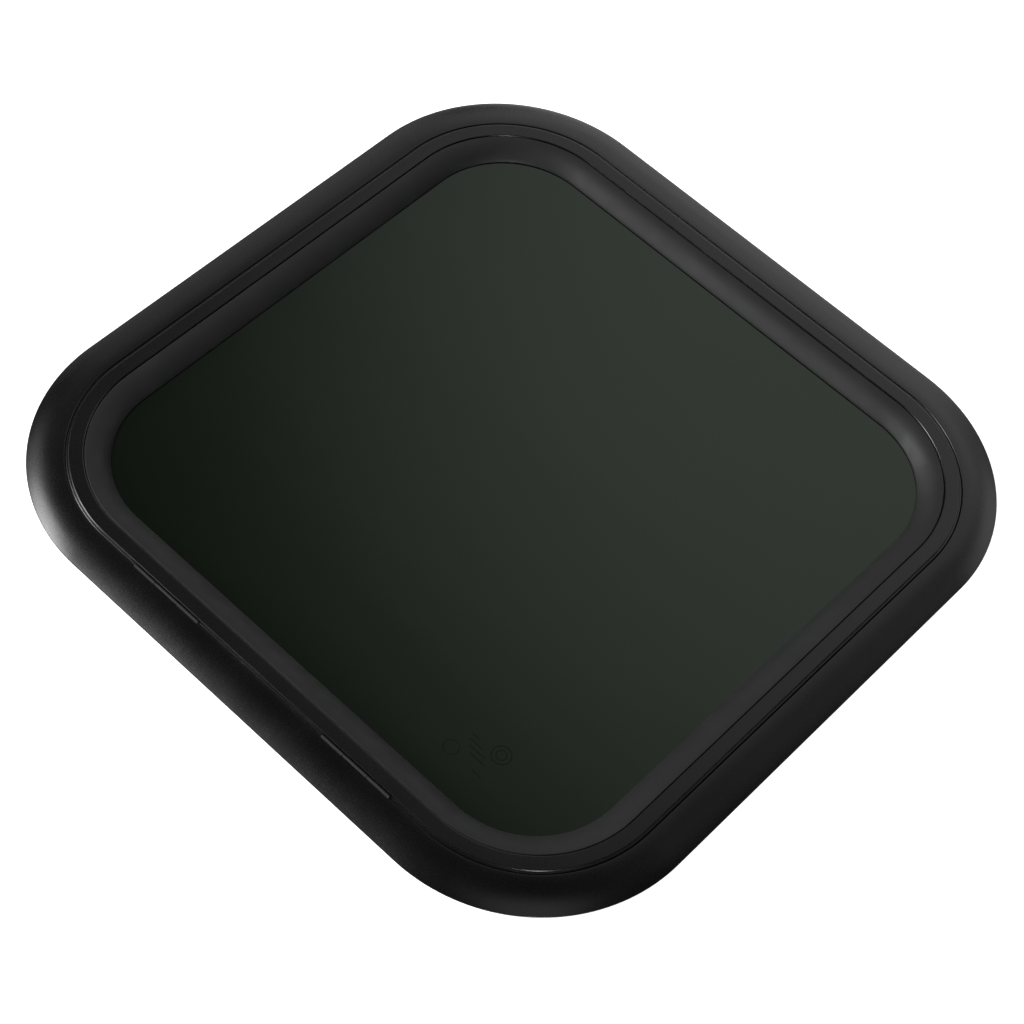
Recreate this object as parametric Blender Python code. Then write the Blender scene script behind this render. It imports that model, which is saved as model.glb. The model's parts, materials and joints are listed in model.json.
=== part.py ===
"""A flush deck hatch: a clamped base frame, a hinged glazed lid and two turning handles.

Metres, +Z up. The origin is at the middle of the cut-out, on the deck's top face. The hinges are at +Y,
the handles at -Y. The lid is shut and the handles are unlatched. Sections are given as (inset, height),
where inset is how far a point lies inside the flange's outer edge.
"""

import math

import bmesh
import bpy
from mathutils import Matrix, Vector

# Driving dimensions.
SIDE = 0.500
CORNER_RADIUS = 0.115
CORNER_STEPS = 8
DECK_THICKNESS = 0.016
FIT_GAP = 0.0003
CUT_PAST = 0.001
SHARP_ANGLE = math.radians(35)

# Flange and base frame.
FLANGE_TOP = 0.0062
FLANGE_ARC_RADIUS = 0.060
FLANGE_ARC_MIDDLE = 0.0250
FLANGE_ARC_END = 0.0233
FLANGE_ARC_STEPS = 6
FLANGE_SHELL = 0.0020
FLANGE_LIP_ROUND = 0.0005
FLANGE_RIM_WIDTH = 0.0052
FLANGE_RIM_SLOPE = 0.0004
FLANGE_HOLLOW_MIDDLE = 0.0120
WALL_OUTER = 0.0206
WALL_INNER = 0.0238
LEDGE_TOP = -0.0160
LEDGE_BOTTOM = -0.0185
DAM_OUTER = 0.0418
DAM_INNER = 0.0438
DAM_TOP = -0.0134
RIB_OUTER = 0.0256
RIB_INNER = 0.0314
RIB_BOTTOM = -0.0240

# Gasket and compression seal.
GASKET_OUTER = 0.0064
GASKET_MIDDLE = 0.0130
GASKET_INNER = 0.0198
GASKET_CLEARANCE = 0.0005
SEAL_OUTER = 0.0335
SEAL_INNER = 0.0405
SEAL_TOP = -0.0129
SEAL_SLOPE = 0.0012

# Clamp ring, on the underside of the deck.
CLAMP_OUTER = 0.0095
CLAMP_LEG_OUTER = 0.0176
CLAMP_LEG_INNER = 0.0198
CLAMP_THICKNESS = 0.0022
CLAMP_TRIM_TOP = -0.0268
CLAMP_TRIM_INNER = 0.0460
CLAMP_EDGE = 0.0008
CLAMP_SCREW_INSET = 0.0285
CLAMP_SCREW_SPREAD = 0.125
CLAMP_SCREW_SHANK = 0.0018
CLAMP_SCREW_HEAD = 0.0040
CLAMP_SCREW_HEAD_HEIGHT = 0.0023
CLAMP_SCREW_TIP = -0.0186
CLAMP_HOLE = 0.0023

# Lid frame. A weather lip on its outer wall, level with the flange, steps up to the band.
LID_TOP = 0.0070
LID_OUTER = 0.0256
LID_WALL = 0.0023
LID_ROUND = 0.0005
LID_LIP_OUTER = 0.0241
LID_LIP_TOP = 0.0062
LID_LIP_BOTTOM = 0.0050
LID_INNER_ROUND = 0.0008
LID_BAND_INNER = 0.0353
LID_INNER_WALL = 0.0020
LID_LEDGE_TOP = -0.0104
LID_LEDGE_BOTTOM = -0.0126
LID_LEDGE_INNER = 0.0580

# Glazing.
GLASS_INSET = 0.0370
GLASS_TOP = -0.0026
GLASS_THICKNESS = 0.0060
GLASS_CHAMFER = 0.0005
TAPE_OUTER = 0.0400
TAPE_INNER = 0.0560
RUBBER_OUTER = 0.0356
RUBBER_LEG_INNER = 0.0367
RUBBER_CREST = (0.0362, 0.0066)
RUBBER_TOE = (0.0510, -0.0012)
RUBBER_INNER = 0.0515
RUBBER_SHOULDER = 0.0006
RUBBER_TOE_STEP = 0.0004
RUBBER_ARC_BEND = math.radians(22.5)
RUBBER_ARC_STEPS = 5

# Hinges.
HINGE_SPACING = 0.159
HINGE_LENGTH = 0.055
HINGE_AXIS_INSET = 0.0241
HINGE_AXIS_HEIGHT = 0.0060
KNUCKLE_RADIUS = 0.0011
KNUCKLE_BORE = 0.00065
KNUCKLE_GAP = 0.0004
KNUCKLE_MIDDLE = 0.0192
PIN_RADIUS = 0.00055
LEAF_THICKNESS = 0.0006
LEAF_BOTTOM = -0.0090
LEAF_FACE = 0.00075
NOTCH_MARGIN = 0.0003
NOTCH_DEPTH = 0.00165
LEAF_SCREW_HEIGHT = -0.0040
BASE_LEAF_SCREW_SPREAD = 0.020
LID_LEAF_SCREW_SPREAD = 0.008
LEAF_SCREW_SHANK = 0.0010
LEAF_SCREW_HOLE = 0.0013
LEAF_SCREW_HEAD = 0.0022
LEAF_SCREW_HEAD_HEIGHT = 0.0006
LEAF_SCREW_LENGTH = 0.0026
LEAF_HOLE_LENGTH = 0.004
WALL_HOLE_LENGTH = 0.006

# Handles. Heights are from the deck's top face, other sizes from the spindle's axis.
HANDLE_SPACING = 0.220
SPINDLE_INSET = 0.0575
SPINDLE_RADIUS = 0.0040
SPINDLE_SQUARE = 0.0054
SPINDLE_TOP = -0.0132
SPINDLE_COLLAR_RADIUS = 0.0060
SPINDLE_COLLAR_BOTTOM = -0.0146
SPINDLE_BOTTOM = -0.0285
SPINDLE_TAPPED_TOP = -0.0210
SPINDLE_SHOULDER = -0.0194
HOUSING_TOP = -0.0129
HOUSING_BOTTOM = -0.0182
HOUSING_HALF_LENGTH = 0.0240
HOUSING_TO_FRAME = 0.0120
HOUSING_TO_CENTRE = 0.0100
HOUSING_ROUND = 0.0040
HOUSING_SCREW_SPREAD = 0.0170
HOUSING_SCREW_OFFSET = 0.0070
HOUSING_SCREW_TIP = -0.0108
HOUSING_SCREW_HEAD_HEIGHT = 0.0012
HOUSING_COUNTERBORE_DEPTH = 0.0018
WASHER_RADIUS = 0.0075
WASHER_TOP = -0.0185
WASHER_BOTTOM = -0.0198
TONGUE_TOP = -0.0201
TONGUE_BOTTOM = -0.0230
TONGUE_HUB_RADIUS = 0.0080
TONGUE_REACH = 0.0210
TONGUE_HALF_WIDTH = 0.0050
TONGUE_CORNER = 0.0015
LEVER_TOP = -0.0233
LEVER_BOTTOM = -0.0323
LEVER_HUB_RADIUS = 0.0100
LEVER_REACH = 0.0800
LEVER_NECK_START = 0.0140
LEVER_NECK_HALF_WIDTH = 0.0062
LEVER_TIP_HALF_WIDTH = 0.0085
LEVER_TIP_TOP = -0.0272
LEVER_END_HALF_WIDTH = 0.0024
LEVER_EDGE = 0.0015
LEVER_STATIONS = 14
LEVER_SOCKET_BOTTOM = -0.0288
LEVER_COUNTERBORE_TOP = -0.0300
LEVER_COUNTERBORE_RADIUS = 0.0046
LEVER_SCREW_SHANK = 0.0017
LEVER_SCREW_HOLE = 0.0020
LEVER_SCREW_HEAD = 0.0040
LEVER_SCREW_HEAD_HEIGHT = 0.0017
LEVER_SCREW_TIP = -0.0220

# Small screws and the keepers under the base ledge.
SMALL_SHANK = 0.0013
SMALL_HOLE = 0.0016
SMALL_HEAD = 0.0027
SMALL_COUNTERBORE = 0.0030
KEEPER_TOP = -0.0188
KEEPER_BOTTOM = -0.0198
KEEPER_OUTER = 0.0320
KEEPER_INNER = 0.0435
KEEPER_HALF_LENGTH = 0.0220
KEEPER_ROUND = 0.0020
KEEPER_SCREW_SPREAD = 0.0170
KEEPER_SCREW_INSET = 0.0378
KEEPER_SCREW_TIP = -0.0163
KEEPER_SCREW_HEAD_HEIGHT = 0.0010

# Screw shape, in shares of the head and the shank, and how finely round pieces are made.
SCREW_CROWN = 0.72
SCREW_HEAD_EDGE = 0.55
SCREW_TIP = 0.55
SCREW_TAPER = 0.6
ROUND_SEGMENTS = 12
SCREW_SEGMENTS = 10
HOLE_SEGMENTS = 8

# Colour, roughness and metallic value of each finish.
FINISHES = {
    "black_coat": ((0.012, 0.012, 0.013), 0.42, 0.0),
    "grey_rubber": ((0.022, 0.022, 0.023), 0.72, 0.0),
    "tape": ((0.010, 0.010, 0.010), 0.85, 0.0),
    "tinted_glass": ((0.010, 0.018, 0.011), 0.06, 0.0),
    "stainless": ((0.56, 0.55, 0.53), 0.28, 1.0),
    "black_plastic": ((0.018, 0.018, 0.019), 0.50, 0.0),
    "acetal": ((0.75, 0.74, 0.70), 0.45, 0.0),
}


def clear_scene():
    for obj in list(bpy.data.objects):
        bpy.data.objects.remove(obj)


def material(name, finish):
    colour, roughness, metallic = FINISHES[finish]
    made = bpy.data.materials.new(name + "_finish")
    made.use_nodes = True
    shader = made.node_tree.nodes["Principled BSDF"]
    shader.inputs["Base Color"].default_value = (*colour, 1.0)
    shader.inputs["Roughness"].default_value = roughness
    shader.inputs["Metallic"].default_value = metallic
    return made


def mesh_from(name, bm):
    bmesh.ops.recalc_face_normals(bm, faces=bm.faces)
    mesh = bpy.data.meshes.new(name)
    bm.to_mesh(mesh)
    bm.free()
    mesh.shade_smooth()
    mesh.set_sharp_from_angle(angle=SHARP_ANGLE)
    return mesh


def add_object(name, mesh, finish, parent=None, location=(0, 0, 0), rotation=(0, 0, 0)):
    """One named piece. Its location is in world coordinates, also under a parent that isn't turned."""
    obj = bpy.data.objects.new(name, mesh)
    bpy.context.scene.collection.objects.link(obj)
    obj.parent = parent
    offset = parent.location if parent else Vector()
    obj.location = Vector(location) - offset
    obj.rotation_euler = rotation
    if not mesh.materials:
        mesh.materials.append(None)
    obj.material_slots[0].link = "OBJECT"
    obj.material_slots[0].material = material(name, finish)
    return obj


def add_axis(name, location):
    """An empty on a joint's axis, to carry the pieces that turn about it."""
    empty = bpy.data.objects.new(name, None)
    bpy.context.scene.collection.objects.link(empty)
    empty.location = location
    return empty


def add_helper(name, bm):
    """A shape that only joins or cuts another one."""
    obj = bpy.data.objects.new(name, mesh_from(name, bm))
    bpy.context.scene.collection.objects.link(obj)
    obj.hide_render = True
    obj.display_type = "WIRE"
    return obj


def combine(obj, helper, operation):
    modifier = obj.modifiers.new(operation.lower(), "BOOLEAN")
    modifier.operation = operation
    modifier.solver = "EXACT"
    modifier.object = helper


def join_loops(bm, loops, closed):
    """Skin a row of equal vertex loops. A closed row meets itself, an open one gets flat ends."""
    rows = [[bm.verts.new(point) for point in loop] for loop in loops]
    pairs = list(zip(rows, rows[1:]))
    if closed:
        pairs.append((rows[-1], rows[0]))
    else:
        bm.faces.new(rows[0])
        bm.faces.new(list(reversed(rows[-1])))
    for row, following in pairs:
        for k in range(len(row)):
            after = (k + 1) % len(row)
            bm.faces.new((row[k], following[k], following[after], row[after]))


def arc(centre, radius, start, end, steps):
    """Points along an arc between two angles in radians, ends included."""
    angles = [start + (end - start) * step / steps for step in range(steps + 1)]
    return [(centre[0] + radius * math.cos(a), centre[1] + radius * math.sin(a)) for a in angles]


def bent_line(start, end, bend, steps):
    """An arc between two points that turns right by bend on each side of their chord."""
    chord = Vector(end) - Vector(start)
    radius = chord.length / (2 * math.sin(bend))
    middle = (Vector(start) + Vector(end)) / 2
    right = Vector((chord.y, -chord.x)).normalized()
    centre = middle + right * radius * math.cos(bend)
    heading = math.atan2(-right.y, -right.x)
    return arc(centre, radius, heading + bend, heading - bend, steps)


def ring_loop(inset, height):
    """A rounded square, this far inside the flange's outer edge."""
    radius = CORNER_RADIUS - inset
    reach = SIDE / 2 - CORNER_RADIUS
    points = []
    for quarter in range(4):
        turn = Matrix.Rotation(quarter * math.pi / 2, 3, "Z")
        for x, y in arc((reach, reach), radius, 0, math.pi / 2, CORNER_STEPS):
            points.append(turn @ Vector((x, y, height)))
    return points


def ring_mesh(name, section):
    bm = bmesh.new()
    join_loops(bm, [ring_loop(inset, height) for inset, height in section], closed=True)
    return mesh_from(name, bm)


def add_turned(bm, profile, segments, closed=False, centre=(0, 0, 0), turn=Matrix()):
    """A turned shape about Z from (radius, height) points, then turned and put at centre."""
    place = Matrix.Translation(centre) @ turn
    loops = []
    for radius, height in profile:
        circle = arc((0, 0), radius, 0, 2 * math.pi, segments)[:-1]
        loops.append([place @ Vector((x, y, height)) for x, y in circle])
    join_loops(bm, loops, closed)


def add_rod(bm, radius, low, high, x=0.0, y=0.0, segments=HOLE_SEGMENTS):
    """An upright rod, mostly used as a cutter for a hole."""
    add_turned(bm, [(radius, low), (radius, high)], segments, centre=(x, y, 0))


def add_cross_rod(bm, radius, centre, length, segments, along="X"):
    """A rod that lies along X or Y."""
    turn = Matrix.Rotation(math.pi / 2, 4, "Y" if along == "X" else "X")
    half = length / 2
    add_turned(bm, [(radius, -half), (radius, half)], segments, centre=centre, turn=turn)


def add_box(bm, low, high):
    loops = []
    for z in (low[2], high[2]):
        corners = ((low[0], low[1]), (high[0], low[1]), (high[0], high[1]), (low[0], high[1]))
        loops.append([Vector((x, y, z)) for x, y in corners])
    join_loops(bm, loops, closed=False)


def add_prism(bm, outline, low, high):
    join_loops(bm, [[Vector((x, y, z)) for x, y in outline] for z in (low, high)], closed=False)


def rounded_rectangle(low, high, radius, steps=3):
    points = []
    corners = ((high[0], high[1]), (low[0], high[1]), (low[0], low[1]), (high[0], low[1]))
    for quarter, (x, y) in enumerate(corners):
        start = quarter * math.pi / 2
        turn = math.copysign(radius, x - (low[0] + high[0]) / 2)
        rise = math.copysign(radius, y - (low[1] + high[1]) / 2)
        points += arc((x - turn, y - rise), radius, start, start + math.pi / 2, steps)
    return points


def screw_mesh(name, shank, head, head_height, length):
    """A pan-head screw that points up: the head's seat is at zero and the head hangs below."""
    bm = bmesh.new()
    profile = [
        (head * SCREW_CROWN, -head_height),
        (head, -head_height * SCREW_HEAD_EDGE),
        (head, 0),
        (shank, 0),
        (shank, length - shank * SCREW_TAPER),
        (shank * SCREW_TIP, length),
    ]
    add_turned(bm, profile, SCREW_SEGMENTS)
    return mesh_from(name, bm)


def side_y(inset, side):
    """The y of a line this far inside the edge on the hinge side (+1) or the handle side (-1)."""
    return side * (SIDE / 2 - inset)


def flange_height(inset):
    """Height of the flange's crowned top, an arc about a line below FLANGE_ARC_MIDDLE."""
    end = math.sqrt(FLANGE_ARC_RADIUS**2 - (FLANGE_ARC_MIDDLE - FLANGE_ARC_END) ** 2)
    here = math.sqrt(FLANGE_ARC_RADIUS**2 - (FLANGE_ARC_MIDDLE - inset) ** 2)
    return FLANGE_TOP + here - end


def base_section():
    """The base frame: crowned flange, upright wall, seal ledge with its dam, and the screw rib."""
    crown = []
    for step in range(FLANGE_ARC_STEPS + 1):
        inset = FLANGE_ARC_END * step / FLANGE_ARC_STEPS
        crown.append((inset, flange_height(inset)))
    lip_centre = (WALL_INNER - FLANGE_LIP_ROUND, FLANGE_TOP - FLANGE_LIP_ROUND)
    lip = arc(lip_centre, FLANGE_LIP_ROUND, math.radians(60), 0, 2)
    under = [WALL_OUTER, FLANGE_HOLLOW_MIDDLE, FLANGE_RIM_WIDTH + FLANGE_RIM_SLOPE]
    hollow = [(inset, flange_height(inset) - FLANGE_SHELL) for inset in under]
    return [
        (0, 0),
        *crown,
        *lip,
        (WALL_INNER, LEDGE_TOP),
        (DAM_OUTER, LEDGE_TOP),
        (DAM_OUTER, DAM_TOP),
        (DAM_INNER, DAM_TOP),
        (DAM_INNER, LEDGE_BOTTOM),
        (RIB_INNER, LEDGE_BOTTOM),
        (RIB_INNER, RIB_BOTTOM),
        (RIB_OUTER, RIB_BOTTOM),
        (RIB_OUTER, LEDGE_BOTTOM),
        (WALL_OUTER, LEDGE_BOTTOM),
        *hollow,
        (FLANGE_RIM_WIDTH, 0),
    ]


def gasket_section():
    top = [GASKET_INNER, GASKET_MIDDLE, GASKET_OUTER]
    clearance = FLANGE_SHELL + GASKET_CLEARANCE
    return [
        (GASKET_OUTER, 0),
        (GASKET_INNER, 0),
        *[(inset, flange_height(inset) - clearance) for inset in top],
    ]


def seal_section():
    """The soft bead on the base ledge that the lid presses on."""
    bottom = LEDGE_TOP + FIT_GAP
    shoulder = (SEAL_TOP + bottom) / 2
    return [
        (SEAL_OUTER, bottom),
        (SEAL_OUTER, shoulder),
        (SEAL_OUTER + SEAL_SLOPE, SEAL_TOP),
        (SEAL_INNER - SEAL_SLOPE, SEAL_TOP),
        (SEAL_INNER, shoulder),
        (SEAL_INNER, bottom),
    ]


def clamp_section():
    """The clamp ring: a flat that grips the deck, a leg, and the trim that hides the base frame."""
    flat_top = -DECK_THICKNESS
    flat_bottom = flat_top - CLAMP_THICKNESS
    trim_bottom = CLAMP_TRIM_TOP - CLAMP_THICKNESS
    return [
        (CLAMP_OUTER, flat_top),
        (CLAMP_LEG_INNER, flat_top),
        (CLAMP_LEG_INNER, CLAMP_TRIM_TOP),
        (CLAMP_TRIM_INNER, CLAMP_TRIM_TOP),
        (CLAMP_TRIM_INNER, trim_bottom + CLAMP_EDGE),
        (CLAMP_TRIM_INNER - CLAMP_EDGE, trim_bottom),
        (CLAMP_LEG_OUTER + CLAMP_EDGE, trim_bottom),
        (CLAMP_LEG_OUTER, trim_bottom + CLAMP_EDGE),
        (CLAMP_LEG_OUTER, flat_bottom),
        (CLAMP_OUTER + CLAMP_EDGE, flat_bottom),
        (CLAMP_OUTER, flat_bottom + CLAMP_EDGE),
    ]


def lid_section():
    """The lid frame: a hollow rim, open below, with a ledge that carries the glass."""
    outer_centre = (LID_OUTER + LID_ROUND, LID_TOP - LID_ROUND)
    inner_centre = (LID_BAND_INNER - LID_INNER_ROUND, LID_TOP - LID_INNER_ROUND)
    inner_wall = LID_BAND_INNER - LID_INNER_WALL
    roof = LID_TOP - LID_WALL
    return [
        (LID_OUTER, LID_LEDGE_BOTTOM),
        (LID_OUTER, LID_LIP_BOTTOM),
        (LID_LIP_OUTER, LID_LIP_BOTTOM),
        (LID_LIP_OUTER, LID_LIP_TOP),
        (LID_OUTER, LID_LIP_TOP),
        *arc(outer_centre, LID_ROUND, math.pi, math.pi / 2, 2),
        *arc(inner_centre, LID_INNER_ROUND, math.pi / 2, 0, 1),
        (LID_BAND_INNER, LID_LEDGE_TOP),
        (LID_LEDGE_INNER, LID_LEDGE_TOP),
        (LID_LEDGE_INNER, LID_LEDGE_BOTTOM),
        (inner_wall, LID_LEDGE_BOTTOM),
        (inner_wall, roof),
        (LID_OUTER + LID_WALL, roof),
        (LID_OUTER + LID_WALL, LID_LEDGE_BOTTOM),
    ]


def rubber_section():
    """The glazing rubber: a bead that falls to the glass, and a leg beside the glass's edge."""
    bead_bottom = GLASS_TOP + FIT_GAP
    return [
        (RUBBER_OUTER, LID_LEDGE_TOP + FIT_GAP),
        (RUBBER_OUTER, RUBBER_CREST[1] - RUBBER_SHOULDER),
        *bent_line(RUBBER_CREST, RUBBER_TOE, RUBBER_ARC_BEND, RUBBER_ARC_STEPS),
        (RUBBER_INNER, RUBBER_TOE[1] - RUBBER_TOE_STEP),
        (RUBBER_INNER, bead_bottom),
        (RUBBER_LEG_INNER, bead_bottom),
        (RUBBER_LEG_INNER, LID_LEDGE_TOP + FIT_GAP),
    ]


def tape_section():
    low = LID_LEDGE_TOP + FIT_GAP
    high = GLASS_TOP - GLASS_THICKNESS - FIT_GAP
    return [(TAPE_OUTER, low), (TAPE_OUTER, high), (TAPE_INNER, high), (TAPE_INNER, low)]


def glass_mesh():
    """A flat pane with ground edges."""
    bottom = GLASS_TOP - GLASS_THICKNESS
    section = [
        (GLASS_INSET + GLASS_CHAMFER, bottom),
        (GLASS_INSET, bottom + GLASS_CHAMFER),
        (GLASS_INSET, GLASS_TOP - GLASS_CHAMFER),
        (GLASS_INSET + GLASS_CHAMFER, GLASS_TOP),
    ]
    bm = bmesh.new()
    join_loops(bm, [ring_loop(inset, height) for inset, height in section], closed=False)
    return mesh_from("glass_pane", bm)


def clamp_screw_places():
    """Three screws to a side: one in its middle and one near each corner."""
    reach = SIDE / 2 - CLAMP_SCREW_INSET
    places = []
    for quarter in range(4):
        turn = Matrix.Rotation(quarter * math.pi / 2, 3, "Z")
        for along in (-CLAMP_SCREW_SPREAD, 0, CLAMP_SCREW_SPREAD):
            places.append(turn @ Vector((reach, along, 0)))
    return places


def hinge_places():
    return {"left": -HINGE_SPACING / 2, "right": HINGE_SPACING / 2}


def handle_places():
    return {"left": -HANDLE_SPACING / 2, "right": HANDLE_SPACING / 2}


def add_keeper_holes(bm):
    y = side_y(KEEPER_SCREW_INSET, -1)
    for x in handle_places().values():
        for offset in (-KEEPER_SCREW_SPREAD, KEEPER_SCREW_SPREAD):
            add_rod(bm, SMALL_HOLE, LEDGE_BOTTOM - CUT_PAST, LEDGE_TOP + CUT_PAST, x + offset, y)


def base_cutter():
    """Clamp screw holes, hinge notches and keeper screw holes."""
    bm = bmesh.new()
    for place in clamp_screw_places():
        low = RIB_BOTTOM - CUT_PAST
        high = CLAMP_SCREW_TIP + 2 * FIT_GAP
        add_rod(bm, CLAMP_SCREW_SHANK + FIT_GAP, low, high, place.x, place.y)
    for x in hinge_places().values():
        outer = side_y(HINGE_AXIS_INSET - NOTCH_DEPTH, 1)
        inner = side_y(WALL_INNER + CUT_PAST, 1)
        half = HINGE_LENGTH / 2 + NOTCH_MARGIN
        add_box(bm, (x - half, inner, LEAF_BOTTOM - NOTCH_MARGIN), (x + half, outer, FLANGE_TOP + CUT_PAST))
    add_keeper_holes(bm)
    return add_helper("base_cutter", bm)


def leaf_hole_cutter(name, inset, spread):
    """Cross holes for the leaf screws, through a wall near this inset."""
    bm = bmesh.new()
    for x in hinge_places().values():
        for offset in (-spread, spread):
            centre = (x + offset, side_y(inset, 1), LEAF_SCREW_HEIGHT)
            add_cross_rod(bm, LEAF_SCREW_HOLE, centre, WALL_HOLE_LENGTH, HOLE_SEGMENTS, along="Y")
    return add_helper(name, bm)


def clamp_cutter():
    bm = bmesh.new()
    for place in clamp_screw_places():
        low = CLAMP_TRIM_TOP - CLAMP_THICKNESS - CUT_PAST
        add_rod(bm, CLAMP_HOLE, low, CLAMP_TRIM_TOP + CUT_PAST, place.x, place.y)
    return add_helper("clamp_cutter", bm)


def lid_cutter():
    """Hinge notches in the lid's outer wall, and the housing screw holes in its ledge."""
    bm = bmesh.new()
    for x in hinge_places().values():
        outer = side_y(LID_LIP_OUTER - CUT_PAST, 1)
        inner = side_y(HINGE_AXIS_INSET + NOTCH_DEPTH, 1)
        half = HINGE_LENGTH / 2 + NOTCH_MARGIN
        add_box(bm, (x - half, inner, LEAF_BOTTOM - NOTCH_MARGIN), (x + half, outer, LID_TOP + CUT_PAST))
    for x in handle_places().values():
        for offset in (-HOUSING_SCREW_SPREAD, HOUSING_SCREW_SPREAD):
            y = side_y(SPINDLE_INSET, -1) - HOUSING_SCREW_OFFSET
            low = LID_LEDGE_BOTTOM - CUT_PAST
            add_rod(bm, SMALL_HOLE, low, LID_LEDGE_TOP + CUT_PAST, x + offset, y)
    return add_helper("lid_cutter", bm)


def make_base():
    base = add_object("base_frame", ring_mesh("base_frame", base_section()), "black_coat")
    combine(base, base_cutter(), "DIFFERENCE")
    wall_middle = (WALL_OUTER + WALL_INNER) / 2
    holes = leaf_hole_cutter("base_leaf_hole_cutter", wall_middle, BASE_LEAF_SCREW_SPREAD)
    combine(base, holes, "DIFFERENCE")
    add_object("flange_gasket", ring_mesh("flange_gasket", gasket_section()), "tape")
    add_object("compression_seal", ring_mesh("compression_seal", seal_section()), "grey_rubber")
    clamp = add_object("clamp_ring", ring_mesh("clamp_ring", clamp_section()), "black_coat")
    combine(clamp, clamp_cutter(), "DIFFERENCE")
    make_clamp_screws()


def make_clamp_screws():
    seat = CLAMP_TRIM_TOP - CLAMP_THICKNESS - FIT_GAP
    head = CLAMP_SCREW_HEAD, CLAMP_SCREW_HEAD_HEIGHT
    mesh = screw_mesh("clamp_screw", CLAMP_SCREW_SHANK, *head, CLAMP_SCREW_TIP - seat)
    for number, place in enumerate(clamp_screw_places(), start=1):
        location = (place.x, place.y, seat)
        add_object(f"clamp_screw_{number:02d}", mesh, "stainless", location=location)


def make_lid(axis):
    lid = add_object("lid_frame", ring_mesh("lid_frame", lid_section()), "black_coat", axis)
    combine(lid, lid_cutter(), "DIFFERENCE")
    wall_middle = LID_OUTER + LID_WALL / 2
    holes = leaf_hole_cutter("lid_leaf_hole_cutter", wall_middle, LID_LEAF_SCREW_SPREAD)
    combine(lid, holes, "DIFFERENCE")
    add_object("glass_pane", glass_mesh(), "tinted_glass", axis)
    add_object("glazing_rubber", ring_mesh("glazing_rubber", rubber_section()), "grey_rubber", axis)
    add_object("glazing_tape", ring_mesh("glazing_tape", tape_section()), "tape", axis)


def knuckle_spans():
    """Where each leaf's knuckles lie along the pin, from the hinge's middle."""
    half = HINGE_LENGTH / 2
    middle = KNUCKLE_MIDDLE / 2
    outer = middle + KNUCKLE_GAP
    return {"base": [(-half, -outer), (outer, half)], "lid": [(-middle, middle)]}


def leaf(name, owner, parent, axis_point):
    """A hinge leaf about the pin's axis. The base's leaf lies at +Y of it, the lid's at -Y."""
    side = 1 if owner == "base" else -1
    other = "lid" if owner == "base" else "base"
    spread = BASE_LEAF_SCREW_SPREAD if owner == "base" else LID_LEAF_SCREW_SPREAD
    half = HINGE_LENGTH / 2
    low_y, high_y = sorted((side * LEAF_FACE, side * (LEAF_FACE + LEAF_THICKNESS)))
    plate = bmesh.new()
    add_box(plate, (-half, low_y, LEAF_BOTTOM - HINGE_AXIS_HEIGHT), (half, high_y, -FIT_GAP))
    obj = add_object(name, mesh_from(name, plate), "black_coat", parent, axis_point)

    relief = bmesh.new()
    clear = KNUCKLE_RADIUS + KNUCKLE_GAP
    for start, end in knuckle_spans()[other]:
        low = (start - KNUCKLE_GAP, -clear, -clear)
        add_box(relief, low, (end + KNUCKLE_GAP, clear, clear))
    barrels = bmesh.new()
    for start, end in knuckle_spans()[owner]:
        centre = ((start + end) / 2, 0, 0)
        add_cross_rod(barrels, KNUCKLE_RADIUS, centre, end - start, ROUND_SEGMENTS)
    holes = bmesh.new()
    add_cross_rod(holes, KNUCKLE_BORE, (0, 0, 0), HINGE_LENGTH + 2 * CUT_PAST, ROUND_SEGMENTS)
    for offset in (-spread, spread):
        centre = (offset, side * LEAF_FACE, LEAF_SCREW_HEIGHT - HINGE_AXIS_HEIGHT)
        add_cross_rod(holes, LEAF_SCREW_HOLE, centre, LEAF_HOLE_LENGTH, HOLE_SEGMENTS, along="Y")

    steps = (("relief", relief, "DIFFERENCE"), ("barrels", barrels, "UNION"), ("holes", holes, "DIFFERENCE"))
    for label, bm, operation in steps:
        helper = add_helper(f"{name}_{label}", bm)
        helper.location = axis_point
        combine(obj, helper, operation)


def make_hinge(side, x, lid_axis):
    axis_point = (x, side_y(HINGE_AXIS_INSET, 1), HINGE_AXIS_HEIGHT)
    leaf(f"hinge_{side}_base_leaf", "base", None, axis_point)
    leaf(f"hinge_{side}_lid_leaf", "lid", lid_axis, axis_point)
    pin = bmesh.new()
    add_cross_rod(pin, PIN_RADIUS, (0, 0, 0), HINGE_LENGTH, ROUND_SEGMENTS)
    name = f"hinge_{side}_pin"
    add_object(name, mesh_from(name, pin), "stainless", None, axis_point)

    head = LEAF_SCREW_HEAD, LEAF_SCREW_HEAD_HEIGHT
    mesh = screw_mesh(f"hinge_{side}_screw", LEAF_SCREW_SHANK, *head, LEAF_SCREW_LENGTH)
    rows = (("base", 1, BASE_LEAF_SCREW_SPREAD, None), ("lid", -1, LID_LEAF_SCREW_SPREAD, lid_axis))
    for owner, toward, spread, parent in rows:
        for number, offset in enumerate((-spread, spread), start=1):
            y = axis_point[1] + toward * (LEAF_FACE - FIT_GAP)
            add_object(
                f"hinge_{side}_{owner}_screw_{number}",
                mesh,
                "stainless",
                parent,
                (x + offset, y, LEAF_SCREW_HEIGHT),
                (-toward * math.pi / 2, 0, 0),
            )


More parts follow.
